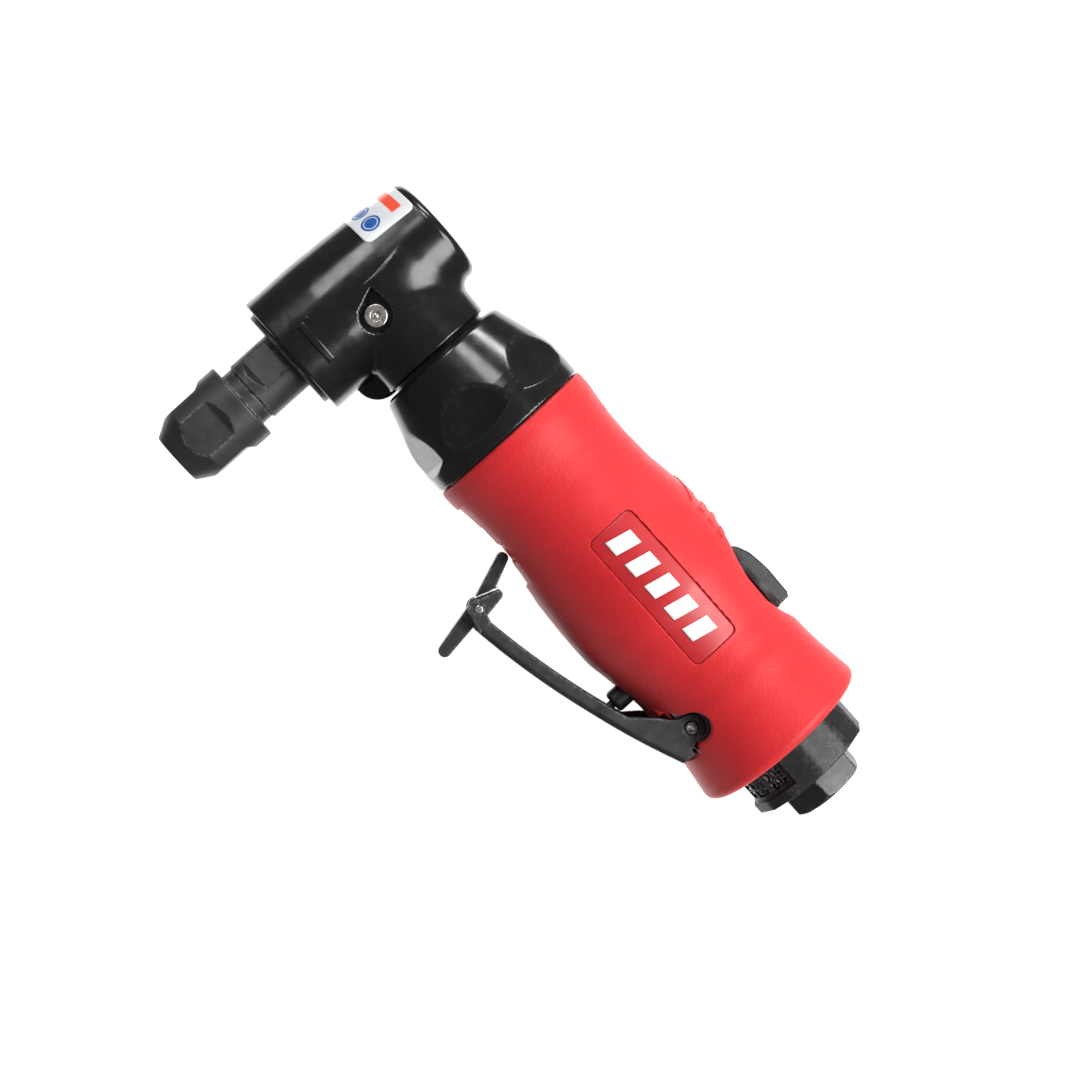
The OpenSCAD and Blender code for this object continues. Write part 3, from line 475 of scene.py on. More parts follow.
looks = {
    "black_paint": material(
        "black_paint", grey(0.005), grey(0.009), 9, (0.16, 0.24),
        [("noise", 0.9, 0.004, EVEN), ("noise", 0.2, 0.002, EVEN)], ior=1.5,
        specks=[(5.5, 0.09, (0.5, 0.5, 0.48)), (2.7, 0.035, (0.35, 0.35, 0.34))], worn=0.2, worn_to=grey(0.07),
        dust=0.015),
    "black_oxide": material(
        "black_oxide", grey(0.014), grey(0.026), 6, (0.36, 0.5),
        [("noise", 0.16, 0.006, EVEN), ("noise", 0.6, 0.008, EVEN)], ior=1.6, worn=0.6, worn_to=grey(0.2),
        specks=[(3.1, 0.06, (0.3, 0.3, 0.29))], dust=0.03),
    "turned_oxide": material(
        "turned_oxide", grey(0.016), grey(0.028), 7, (0.38, 0.5),
        [("noise", 0.2, 0.003, ROUND_Y), ("noise", 0.45, 0.002, EVEN)], ior=1.6, worn=0.5, worn_to=grey(0.2), dust=0.02),
    "inlet_oxide": material(
        "inlet_oxide", grey(0.009), grey(0.016), 7, (0.34, 0.46),
        [("noise", 0.2, 0.006, ROUND_X), ("noise", 0.45, 0.004, EVEN)], ior=1.6, worn=0.5, worn_to=grey(0.2), dust=0.03),
    "red_grip": material(
        "red_grip", (0.55, 0.017, 0.02), (0.61, 0.021, 0.026), 14, (0.42, 0.52),
        [("pebbles", 0.85, 0.03, EVEN), ("noise", 0.5, 0.035, EVEN), ("noise", 0.14, 0.006, EVEN)], ior=1.38,
        sheen=0.06),
    "plate_red": material(
        "plate_red", (0.42, 0.012, 0.016), (0.48, 0.015, 0.02), 10, (0.36, 0.46),
        [("noise", 0.3, 0.006, EVEN)]),
    "plate_white": material(
        "plate_white", (0.86, 0.86, 0.85), (0.92, 0.92, 0.92), 6, (0.3, 0.42), [("noise", 0.3, 0.006, EVEN)]),
    "fitting_nickel": material(
        "fitting_nickel", (0.66, 0.61, 0.53), (0.78, 0.74, 0.68), 1.5, (0.22, 0.38),
        [("noise", 0.2, 0.006, EVEN)], metallic=1.0, worn=0.4, worn_to=(0.9, 0.88, 0.84)),
    "spring_steel": turned_metal("spring_steel", grey(0.62), grey(0.78), (0.18, 0.3), EVEN),
    "bearing_steel": turned_metal("bearing_steel", grey(0.55), grey(0.66), (0.12, 0.22), ROUND_Y),
    "machined_steel": turned_metal("machined_steel", grey(0.36), grey(0.46), (0.26, 0.4), ROUND_X),
    "turned_steel": turned_metal("turned_steel", grey(0.14), grey(0.2), (0.3, 0.42), ROUND_Y),
    "pin_steel": turned_metal("pin_steel", grey(0.22), grey(0.34), (0.25, 0.38), EVEN),
    "screen_steel": turned_metal("screen_steel", grey(0.36), grey(0.52), (0.24, 0.36), EVEN),
    "aluminium_cast": turned_metal("aluminium_cast", grey(0.3), grey(0.4), (0.34, 0.48), ROUND_X),
    "brass": turned_metal("brass", (0.52, 0.37, 0.15), (0.63, 0.47, 0.21), (0.24, 0.36), ROUND_Y),
    "seal_rubber": material("seal_rubber", grey(0.014), grey(0.024), 3, (0.5, 0.65), [("noise", 0.25, 0.01, EVEN)]),
    "felt": material("felt", (0.05, 0.05, 0.045), (0.1, 0.1, 0.09), 0.8, (0.85, 0.98),
                     [("noise", 0.25, 0.12, (1, 0.4, 1)), ("noise", 0.7, 0.1, EVEN)], sheen=0.3),
    "blade_composite": material("blade_composite", (0.1, 0.062, 0.032), (0.14, 0.09, 0.05), 2, (0.4, 0.55),
                                [("noise", 0.2, 0.01, (0.15, 1, 1))]),
    "black_plastic": material(
        "black_plastic", grey(0.01), grey(0.018), 5, (0.4, 0.52),
        [("pebbles", 0.32, 0.02, EVEN), ("noise", 0.16, 0.01, EVEN)], ior=1.48,
        specks=[(0.75, 0.1, grey(0.1)), (2.2, 0.07, grey(0.3))], worn=0.35, worn_to=grey(0.12)),
    "smooth_plastic": material(
        "smooth_plastic", grey(0.013), grey(0.02), 5, (0.34, 0.46), [("noise", 0.4, 0.008, EVEN)], ior=1.48,
        specks=[(3.3, 0.06, grey(0.2))], worn=0.3, worn_to=grey(0.1), dust=0.03),
}


def label_look():
    """White vinyl with a plain red bar and two blue rings, placed round the barrel's front."""
    m = material("label_vinyl", (0.6, 0.62, 0.64), (0.66, 0.67, 0.68), 5, (0.24, 0.34), [("noise", 0.6, 0.008, EVEN)],
                 coat=0.2)
    tree = m.node_tree
    shader = tree.nodes["Principled BSDF"]
    white = shader.inputs["Base Color"].links[0].from_socket
    parts = new(tree, "SeparateXYZ", {0: new(tree, "TexCoord").outputs["Object"]}).outputs
    turn = maths(tree, "ARCTAN2", maths(tree, "MULTIPLY", parts[0], -1.0), parts[2])
    along = maths(tree, "MULTIPLY", turn, 13.6)
    up = maths(tree, "MULTIPLY", parts[1], 1 / MM)

    def near(value, middle, half):
        return rescaled(tree, maths(tree, "ABSOLUTE", maths(tree, "SUBTRACT", value, middle)), half, half + 0.1, 1, 0)

    def ring(at_along, at_up, low, high):
        du, dv = maths(tree, "SUBTRACT", along, at_along), maths(tree, "SUBTRACT", up, at_up)
        away = maths(tree, "SQRT", maths(tree, "ADD", maths(tree, "POWER", du, 2.0), maths(tree, "POWER", dv, 2.0)))
        return near(away, (low + high) / 2, (high - low) / 2)
    middle = 13.6 * math.pi / 2
    red = maths(tree, "MULTIPLY", near(along, middle, 12.6), near(up, 71.6, 1.2))
    colour = blended(tree, red, white, (0.82, 0.07, 0.03))
    for k in range(-2, 3):
        for low, high in ((0.0, 1.45), (1.75, 2.2)):
            colour = blended(tree, ring(middle + 5.6 * k, 65.4, low, high), colour, (0.012, 0.09, 0.34))
    tree.links.new(colour, shader.inputs["Base Color"])
    return m


looks["label_vinyl"] = label_look()


# ---------- head ----------

HEAD_START, HEAD_END = box("angle_head")[0][1], box("angle_head")[1][1]
CAP_START = box("bearing_cap")[0][1]
NECK_END = 20.4
ARROW_X, ARROW_Y = 0.4, HEAD_START + 5.9
FITTING = ((box("grease_fitting")[0] + box("grease_fitting")[1]) / 2)[:2] - (0, AXIS)
PLUG = ((box("neck_plug")[0] + box("neck_plug")[1]) / 2)[:2] - (0, AXIS)
PLUG_LOW = box("neck_plug")[0][2]
BOSS_LOW = PLUG_LOW + 2.7
barrel_r = smoothed([(HEAD_START, 15.1), (46, 15.1), (54, 14.7), (62, 14.2), (69, 13.5), (HEAD_END - 2, 12.8)], 1.5)


def rod(rho, r, beyond):
    return np.maximum(rho - r, beyond)


def head(x, y, z):
    b, rho = y - AXIS, np.hypot(x, z)
    off_axis = np.hypot(b, z)
    shape = meet((rho - barrel_r(y)) * 0.995, HEAD_START - y, 0.5)
    shape = meet(shape, y - HEAD_END + 0.0022 * rho ** 2, 1.8)
    neck = meet(turned(x, off_axis, [(0, 14.45), (NECK_END, 13.6)]), x - NECK_END, 0.5)
    shape = join(shape, np.maximum(neck, -x), 0.7 + 1.3 * ramp(b, -2, 9))
    boss = meet(np.hypot(x - PLUG[0], b - PLUG[1]) - 5.3, slab(z, BOSS_LOW, BOSS_LOW + 7.5), 0.7)
    shape = join(shape, boss, 0.8)
    # milled seat of the grease fitting, open towards the spindle
    u, v = x - FITTING[0], b - FITTING[1]
    seat = np.minimum(np.hypot(u, v) - 3.7, convex(u, v, [(-5.2, 3.1), (-2.9, -2.5), (0, -3.7), (0, 3.7)]))
    shape = cut(shape, np.maximum(seat, 11.35 - z), 0.3)
    shape = cut(shape, np.maximum(np.hypot(u, v) - 1.6, 5 - z), 0.1)
    # spigot, groove and flange inside the coupling nut
    tail = np.maximum(off_axis - 12.4, np.maximum(x - 40, -x))
    tail = np.minimum(tail, np.maximum(off_axis - 14.9, slab(x, 36.5, 40)))
    tail = np.maximum(tail, -np.maximum(slab(x, 29.9, 32.1), 11.6 - off_axis))
    shape = np.minimum(shape, tail)
    # bearing seats and gear chamber
    top_bearing = box("upper_bearing_outer")[0][1]
    hollow = np.minimum.reduce([
        rod(rho, 12.9, y - 36), rod(rho, 12, y - 42.1), rod(rho, 10.4, y - top_bearing + 0.3),
        rod(rho, 8, y - top_bearing - 5.2), rod(off_axis, 9.4, slab(x, 2, 14)), rod(off_axis, 11, 11.9 - x),
        rod(np.hypot(x - PLUG[0], b - PLUG[1]), 1.8, z - BOSS_LOW - 4.5)])
    return cut(shape, hollow, 0.15)


def bearing_cap(x, y, z):
    rho = np.hypot(x, z)
    rim = meet(rho - 12.25, slab(y, CAP_START, CAP_START + 1.4), 0.25)
    shape = np.minimum(rim, meet(rho - 12.8, slab(y, 33.5, 35.9), 0.1))
    shape = cut(shape, np.minimum(rho - 7.55, np.maximum(rho - 9.6, 34 - y)), 0.25)
    pins = np.minimum(np.hypot(x - 7.35, z - 7.35), np.hypot(x + 7.35, z + 7.35)) - 0.9
    return cut(shape, pins, 0.15)


def grease_fitting(x, y, z):
    rho = np.hypot(x - FITTING[0], y - AXIS - FITTING[1])
    shape = meet(rho - 2.55, slab(z, 11.5, 12.8), 0.3)
    shape = cut(shape, np.maximum(rho - 1.15, 12.15 - z), 0.12)
    ball = np.sqrt(rho ** 2 + (z - 12.35) ** 2) - 0.8
    return np.minimum(np.minimum(shape, ball), rod(rho, 1.55, slab(z, 9.6, 12)))


def neck_plug(x, y, z):
    u, v, h = x - PLUG[0], y - AXIS - PLUG[1], z - PLUG_LOW
    rho = np.hypot(u, v)
    shape = np.minimum(meet(rho - 3, slab(h, 0, 2.6), 0.4), rod(rho, 1.7, slab(h, 2.5, 6.9)))
    return cut(shape, np.maximum(prism(u, v, 6, 1.3, 90, 0.05), h - 1.4), 0.12)


def around(low, high, room=0.5):
    return np.array(low) - room, np.array(high) + room


def whole(node, room=0.5):
    return around(*box(node), room)


solid("angle_head", head, *whole("angle_head"), 0.36, "tool_body", 0.55)


def on_front(u, v, h):
    return np.stack([u, v, np.sqrt((barrel_r(v) + h) ** 2 - u ** 2)], -1)


# raised arrow, which shows the spindle's turn
shaft = relief(on_front, ARROW_Y - 0.9, ARROW_Y + 0.9, lambda v: 0 * v + ARROW_X - 3.8, lambda v: 0 * v + ARROW_X + 6.9,
               -0.1, 0.4, 0.2, 40, 6)
point = relief(on_front, ARROW_Y - 2.4, ARROW_Y + 2.4, lambda v: ARROW_X - 8.2 + 2 * np.abs(v - ARROW_Y),
               lambda v: 0 * v + ARROW_X - 3.4, -0.1, 0.41, 0.2, 24, 20)
piece("spindle_arrow", welded("spindle_arrow", *merged([shaft, point])), "tool_body", "black_paint")
solid("bearing_cap", bearing_cap, *whole("bearing_cap"), 0.3, "tool_body", 0.7, "turned_oxide")
solid("grease_fitting", grease_fitting, *whole("grease_fitting"), 0.12, "tool_body")
solid("neck_plug", neck_plug, *whole("neck_plug"), 0.17, "tool_body")

# printed label round the front of the barrel
LABEL_LOW, LABEL_HIGH, LABEL_HALF, LABEL_CORNER = 61.7, 74.8, 15.3, 1.5


def on_barrel(u, v, h):
    r = barrel_r(v) + h
    a = u / 13.6 + math.pi / 2
    return np.stack([-r * np.sin(a), v, r * np.cos(a)], -1)


def label_edge(v):
    near = np.minimum(v - LABEL_LOW, LABEL_HIGH - v)
    away = np.clip(LABEL_CORNER - near, 0, LABEL_CORNER)
    return LABEL_HALF - LABEL_CORNER + np.sqrt(LABEL_CORNER ** 2 - away ** 2)


label = relief(on_barrel, LABEL_LOW, LABEL_HIGH, lambda v: -label_edge(v), label_edge, -0.05, 0.14, 0.05, 60, 40)
piece("head_label_shape", welded("head_label", *label), "tool_body", "label_vinyl", ["head_label"])

# ---------- coupling ----------

COUPLING_START, COUPLING_END = box("coupling_nut")[0][0], box("coupling_nut")[1][0]
COUPLING_R = box("coupling_nut")[1][1] - AXIS


def coupling(x, y, z):
    b = y - AXIS
    rho = np.hypot(b, z)
    shape = turned(x, rho, [(COUPLING_START, 15.6), (22.1, 15.9), (33.7, 19.6), (36, COUPLING_R), (44, COUPLING_R)])
    shape = meet(shape, COUPLING_START - x, 1.2)
    shape = meet(shape, x - COUPLING_END, 0.4)
    shape = flats(shape, b, z, x, 6, 18.3, -14, 38.9, 1.0, 0.25)
    bore = np.minimum.reduce([rho - 12.7, rod(rho, 14.9, 29.85 - x), rod(rho, 16.5, 34.6 - x)])
    return cut(shape, bore, 0.2)


solid("coupling_nut", coupling, *whole("coupling_nut"), 0.42, "tool_body", 0.5)

# ---------- spindle ----------

NUT_END = box("collet_nut")[1][1]
NUT_R = box("collet_nut")[1][0]


def collet_nut(x, y, z):
    rho = np.hypot(x, z)
    shape = turned(y, rho, [(0, 6.05), (5.95, NUT_R), (NUT_END, NUT_R)])
    shape = meet(meet(shape, -y, 0.25), y - NUT_END, 0.5)
    shape = flats(shape, x, z, y, 4, 8.3, 0, 13.1, 0.74, 0.12)
    bore = np.minimum(turned(y, rho, [(0, 4.15), (3.1, 5.95), (5, 6)]), rod(rho, 7, 5 - y))
    return cut(shape, bore, 0.15)


def spindle(x, y, z):
    rho = np.hypot(x, z)
    end = box("spindle")[1][1]
    shape = np.minimum.reduce([
        rod(rho, 6.9, slab(y, 5.4, 19.3)), meet(rho - 6.75, slab(y, 19.2, 21.9), 0.1),
        meet(rho - 7.25, slab(y, 22, 35.5), 0.3), rod(rho, 6, slab(y, 35.4, 44.4)), rod(rho, 7, slab(y, 42.2, 44.4)),
        rod(rho, 5.5, slab(y, 44.3, 49)), meet(rho - 4, slab(y, 48.9, end), 0.3)])
    shape = np.minimum(shape, rod(rho, 6.6, slab(y, 21.5, 22.5)))
    seat = np.minimum.reduce([rod(rho, 5, y - 14), rod(rho, 3.7, slab(y, 15, 29)),
                              np.maximum(turned(y, rho, [(13.9, 5), (17.9, 3.7)]), slab(y, 13.9, 17.9))])
    shape = cut(shape, seat, 0.15)
    # two wrench flats, square at the back and run out at the front
    for turn in (-23, 157):
        a = math.radians(turn)
        over = x * math.sin(a) + z * math.cos(a) - 5.75
        shape = cut(shape, np.maximum.reduce([y - 31.5, -over, (25.1 - over / 1.07 - y) * 0.73]), 0.15)
    return shape


def collet(x, y, z):
    rho = np.hypot(x, z)
    end = box("collet")[1][1]
    shape = turned(y, rho, [(0, 3.95), (3.03, 5.7), (4.1, 5.7), (5.4, 4.9), (13.8, 4.9), (end, 3.9)])
    shape = cut(meet(meet(shape, -y, 0.12), y - end, 0.1), rho - 3.175, 0.12)
    for a in (0, 120):
        a = math.radians(a)
        side, out = x * math.sin(a) + z * math.cos(a), x * math.cos(a) - z * math.sin(a)
        shape = cut(shape, np.maximum.reduce([np.abs(side) - 0.3, 2 - out, y - 12]), 0.06)
    a = math.radians(60)
    side, out = x * math.sin(a) + z * math.cos(a), x * math.cos(a) - z * math.sin(a)
    return cut(shape, np.maximum.reduce([np.abs(side) - 0.3, 2 - out, 4 - y]), 0.06)


solid("collet_nut", collet_nut, *whole("collet_nut"), 0.27, "nut", 0.6, "turned_oxide")
solid("spindle", spindle, *whole("spindle"), 0.27, "spindle_assembly", 0.6, "turned_oxide")
solid("collet", collet, *whole("collet"), 0.2, "spindle_assembly", 0.6, "turned_steel")

# ---------- grip ----------

GRIP_START, GRIP_END = box("grip_sleeve")[0][0], box("grip_sleeve")[1][0]
KNOB_BASE = box("regulator_knob")[0][1] - AXIS
KNOB_R = box("regulator_knob")[1][2]
grip_r = smoothed([(GRIP_START, 20.2), (48, 20.2), (52, 19.7), (56, 19.3), (61, 19.2), (69, 19.6), (77, 20.8),
                   (81, 21.05), (85, 21.3), (89, 21.4), (93, 21.4), (95, 21.3), (97, 20.9), (99, 20.55), (101, 20.25),
                   (105, 19.6), (109, 19.1), (114, 19.25), (117, 19.75), (121, 19.9), (123, 20.05), (127, 20.5),
                   (131, 21.1), (GRIP_END, 21.7)], 1.5)
NOTCH_END, SLOT_END = PIVOT[0] + 5.5, PIVOT[0] + 5.6
EAR_NOTCH = [(PIVOT[0] - 3.8, PIVOT[1]), (PIVOT[0] + 3.6, PIVOT[1] - 1), (NOTCH_END, PIVOT[1] - 2.7), (NOTCH_END, -26),
             (100, -26), (100, -20.6), (106, -18.5), (PIVOT[0] - 7.1, -16.6)]
# flat recess under the lever's tip: start and end along the handle, and depth
TIP_RECESS = [(49.5, 61.5, 0.55), (61.3, 66, 0.9), (65.8, 72, 0.6)]
LATCH_HALF = 2.2
PLATE_X, PLATE_B, PLATE_W, PLATE_H, PLATE_CORNER = 90.6, 1.2, 35.6, 12, 1.6
# raised marks beside the knob: outlines in x and in arc length from the side facing +Y
MARKS = [[(75.6, 0), (81.8, -9.4), (81.8, 9.4)], [(84, -9.2), (85.6, -9.2), (85.6, 9.2), (84, 9.2)],
         [(87.2, -10), (88.6, -10), (88.6, 10), (87.2, 10)], [(90.4, -10.4), (92.2, -11), (92.2, 11), (90.4, 10.4)]]


def rounded_box(u, v, half_u, half_v, r):
    over_u, over_v = np.abs(u) - half_u + r, np.abs(v) - half_v + r
    return np.hypot(np.maximum(over_u, 0), np.maximum(over_v, 0)) + np.minimum(np.maximum(over_u, over_v), 0) - r


def grip(x, y, z):
    b = y - AXIS
    rho = np.hypot(b, z)
    skin = grip_r(x)
    shape = (rho - skin) * 0.985
    arc = 21 * (np.arctan2(b, z) - math.pi / 2)
    marks = np.minimum.reduce([convex(x, arc, m) for m in MARKS])
    raised = meet(np.where(b > 0, marks, 9), rho - skin - 0.32, 0.1)
    shape = join(shape, raised, 0.15)
    shape = meet(meet(shape, x - GRIP_END, 2.4), GRIP_START - x, 1.0)
    for low, high, depth in TIP_RECESS:
        step = np.maximum.reduce([slab(x, low, high), np.abs(z) - 7.2, skin - depth - rho, b])
        shape = cut(shape, step, 0.2)
    shape = cut(shape, np.maximum.reduce([slab(x, 56, 66.5), np.abs(z) - LATCH_HALF - 0.7, b + 18]), 0.2)
    # bowl round the regulator knob
    u = x - VALVE_X
    away = np.hypot(u, z)
    bowl = (np.hypot(u + 0.8, z) - 10.1 - 1.2 * (b - KNOB_BASE + 0.4)) * 0.64
    bowl = np.maximum(bowl, KNOB_BASE - 0.35 - b)
    shape = cut(shape, bowl, 0.4)
    shape = cut(shape, np.maximum(away - 6.4, 5 - b), 0.15)
    # hole of the valve button
    button = np.maximum(np.minimum(away - 3, np.maximum(away - 4.45, -18.5 - b)), b)
    shape = cut(shape, button, 0.3)
    # notches round the lever's ears and room for its web
    notch = np.minimum(np.hypot(x - PIVOT[0], b - PIVOT[1]) - 3.8, outline(x, b, EAR_NOTCH))
    shape = cut(shape, np.maximum(notch, 8 - np.abs(z)), 0.35)
    shape = cut(shape, np.maximum.reduce([slab(x, 112.5, SLOT_END), b + 16.4, np.abs(z) - 12]), 0.3)
    plate = rounded_box(x - PLATE_X, b - PLATE_B, PLATE_W / 2, PLATE_H / 2, PLATE_CORNER)
    shape = cut(shape, np.maximum.reduce([plate, skin - 0.75 - rho, -z]), 0.15)
    return cut(shape, rho - 17.6, 0.1)


solid("grip_sleeve", grip, *whole("grip_sleeve"), 0.36, "tool_body", 0.42)


def on_grip(u, v, h):
    return np.stack([u, AXIS + v, np.sqrt((grip_r(u) + h) ** 2 - v ** 2)], -1)


def plate_edge(v):
    margin, corner = 0.12, PLATE_CORNER - 0.12
    near = PLATE_H / 2 - margin - np.abs(v - PLATE_B)
    away = np.clip(corner - near, 0, corner)
    return PLATE_W / 2 - margin - corner + np.sqrt(np.maximum(corner ** 2 - away ** 2, 0))


plate = relief(on_grip, PLATE_B - PLATE_H / 2 + 0.12, PLATE_B + PLATE_H / 2 - 0.12,
               lambda v: PLATE_X - plate_edge(v), lambda v: PLATE_X + plate_edge(v), -0.78, -0.3, 0.08, 70, 44)
piece("nameplate_shape", welded("nameplate", *plate), "tool_body", "plate_red", ["nameplate"])
bars = []
for k in range(5):
    middle = PLATE_X - 13.2 + 6.2 * k

    def slant(v, start):
        return middle + start + 1.4 * (v - PLATE_B + 3) / 6
    bars.append(relief(on_grip, PLATE_B - 3, PLATE_B + 3, lambda v: slant(v, -2.3), lambda v: slant(v, 1.3),
                       -0.33, -0.02, 0.07, 5, 8))
piece("nameplate_bars_shape", welded("nameplate_bars", *merged(bars)), "tool_body", "plate_white", ["nameplate_bars"])

# ---------- throttle ----------

ARM_HALF, EAR_HALF, SHEET, ARM_DEPTH = 6.5, 10.4, 1.5, 3.6


def arm(x):
    """The outer face of the lever's arm, from the handle axis."""
    return -34.6 + 0.14 * (x - 73.4) + 0.00278 * (x - 73.4) ** 2


def arc_points(centre, r, start, end, count):
    turns = np.radians(np.linspace(start, end, count))
    return [(centre[0] + r * math.cos(t), centre[1] + r * math.sin(t)) for t in turns]


LEVER_END = PIVOT[0] + 4.9
LEVER_SIDE = [(71, arm(71) - 3), (LEVER_END, -23), (LEVER_END, PIVOT[1] - 3.3), (PIVOT[0] + 3.7, PIVOT[1] - 3),
              *arc_points(PIVOT, 3.2, -20, 190, 20), (PIVOT[0] - 4.3, PIVOT[1] - 2.3), (PIVOT[0] - 6.4, -18),
              (PIVOT[0] - 8.6, -20.4), (108, -22.8),
              *[(v, arm(v) + ARM_DEPTH) for v in np.arange(105, 71.5, -3)], (70.4, -31), (71, -33.5)]
CHEEK = [(72.5, arm(72.5)), (72.5, arm(72.5) + ARM_DEPTH), (70.7, -30.6), (69.9, -25.6), (69.3, -24.9), (68.1, -24.9),
         (67.3, -27.8), *arc_points(LATCH, 2.3, 130, 270, 12)]


def lever(x, y, z):
    b, side = y - AXIS, np.abs(z)
    half = ARM_HALF + (EAR_HALF - ARM_HALF) * ramp(x, 101, 113)
    low = (arm(x) - b) * 0.99
    edge = meet(low, (side - half) * 0.97, 1.4)
    shape = meet(outline(x, b, LEVER_SIDE), edge, 0.3)
    shape = cut(shape, meet(low + SHEET, (side - half + SHEET) * 0.97, 0.4), 0.15)
    cheek = meet(outline(x, b, CHEEK), slab(side, ARM_HALF - SHEET, ARM_HALF), 0.25)
    shape = np.minimum(shape, cheek)
    shape = cut(shape, np.maximum.reduce([side - LATCH_HALF - 0.5, slab(x, 60, 85.5), slab(b, -40, -20)]), 0.2)
    holes = np.minimum(np.hypot(x - PIVOT[0], b - PIVOT[1]) - 1.55, np.hypot(x - LATCH[0], b - LATCH[1]) - 0.93)
    return cut(shape, holes, 0.12)


def latch(x, y, z):
    b = y - AXIS
    flat = np.minimum(bar(x, b, LATCH, 1.7, (63.8, -19.75), 1.3), bar(x, b, LATCH, 2, (70.5, -42.9), 1.4))
    return cut(meet(flat, np.abs(z) - LATCH_HALF, 0.4), np.hypot(x - LATCH[0], b - LATCH[1]) - 0.95, 0.1)


def latch_pin(x, y, z):
    rho, side = np.hypot(x - LATCH[0], y - AXIS - LATCH[1]), np.abs(z)
    return np.minimum(meet(rho - 0.9, side - 7, 0.2), meet(rho - 0.95, slab(side, 6.53, 6.97), 0.2))


def lever_pin(x, y, z):
    rho = np.hypot(x - PIVOT[0], y - AXIS - PIVOT[1])
    shape = cut(meet(rho - 1.5, np.abs(z) - 11, 0.3), rho - 0.8, 0.12)
    return cut(shape, np.maximum(np.abs(x - PIVOT[0]) - 0.2, PIVOT[1] + AXIS - y), 0.1)


def valve_stem(x, y, z):
    b, rho = y - AXIS, np.hypot(x - VALVE_X, z)
    button = meet(rho - 2.6, slab(b, -23.2, -14.4), 0.9)
    shape = np.minimum.reduce([button, meet(rho - 1, slab(b, -25.5, -22), 0.5), rod(rho, 1.4, slab(b, -15, -6.7)),
                               meet(rho - 3.5, slab(b, -8.4, -6.4), 0.2)])
    return shape


def knob(x, y, z):
    u, h = x - VALVE_X, y - AXIS - KNOB_BASE
    rho = np.hypot(u, z)
    base = meet(rho - KNOB_R, slab(h, 0, 1.6), 0.35)
    side = convex(u, h, [(-KNOB_R, 0), (KNOB_R, 0), (8.4, 4.2), (7.4, 4.8), (1, 5), (-1.6, 4.8), (-4.8, 4.3),
                         (-7.4, 3.2), (0.3 - KNOB_R, 2.2)])
    pointer = meet(side, (np.abs(z) - 3.9 + 0.25 * h) * 0.97, 0.45)
    shape = join(base, np.maximum(pointer, rho - KNOB_R), 0.5)
    recess = np.minimum(np.maximum(rho - 2, 3.15 - h), np.maximum(rho - 2.43, h - 1.2))
    return cut(cut(shape, recess, 0.2), rho - 1, 0.1)


solid("throttle_lever", lever, *whole("throttle_lever"), 0.3, "lever", 0.5)
solid("lock_latch", latch, *whole("lock_latch"), 0.22, "latch", 0.7)
solid("latch_pin", latch_pin, *whole("latch_pin"), 0.12, "lever", 0.7)
solid("lever_pin", lever_pin, *whole("lever_pin"), 0.16, "tool_body", 0.6, "pin_steel")
solid("valve_stem", valve_stem, *whole("valve_stem"), 0.22, "valve", 0.7, "smooth_plastic")
solid("regulator_knob", knob, *whole("regulator_knob"), 0.24, "regulator", 0.7)


def rounded_path(points, corner, steps=6):
    """A path through points, its bends rounded over corner mm to each side."""
    points = np.array(points, float)
    path = [points[0]]
    for a, p, c in zip(points, points[1:], points[2:]):
        reach = min(corner, np.linalg.norm(p - a) / 2, np.linalg.norm(c - p) / 2)
        start, end = p + (a - p) / np.linalg.norm(a - p) * reach, p + (c - p) / np.linalg.norm(c - p) * reach
        path += [(1 - t) ** 2 * start + 2 * t * (1 - t) * p + t * t * end for t in np.linspace(0, 1, steps)]
    return path + [points[-1]]


# latch spring: a coil round the pin between latch and cheek, and a leg bent over the cheek
WIRE, COIL_R, COIL_TURNS = 0.28, 1.35, 3
turns = np.linspace(0, COIL_TURNS * 2 * math.pi, COIL_TURNS * 18)
coil = np.stack([LATCH[0] + COIL_R * np.cos(turns), LATCH[1] + COIL_R * np.sin(turns),
                 2.8 + 1.85 * turns / turns[-1]], 1)
leg = rounded_path([(67.75, -24.9, 5.7), (66.95, -27.8, 5.7), (66, -30.2, 5.7), (65.85, -31.2, 5.5), (66.3, -32.2, 4.8),
                    (67.1, -32.2, 4.4)], 0.7)
wires = merged([tube(np.array(path) + (0, AXIS, 0), WIRE) for path in (coil, leg)])
piece("latch_spring_shape", welded("latch_spring", *wires), "lever", "spring_steel", ["latch_spring"])

# ---------- tail ----------

DEFLECTOR_START, DEFLECTOR_END = box("exhaust_deflector")[0][0], box("exhaust_deflector")[1][0]
INLET_END = box("inlet_bushing")[1][0]
WINDOW_FIRST, WINDOW_STEP = 125.4, 24.4     # degrees round the handle, from +Y towards +Z


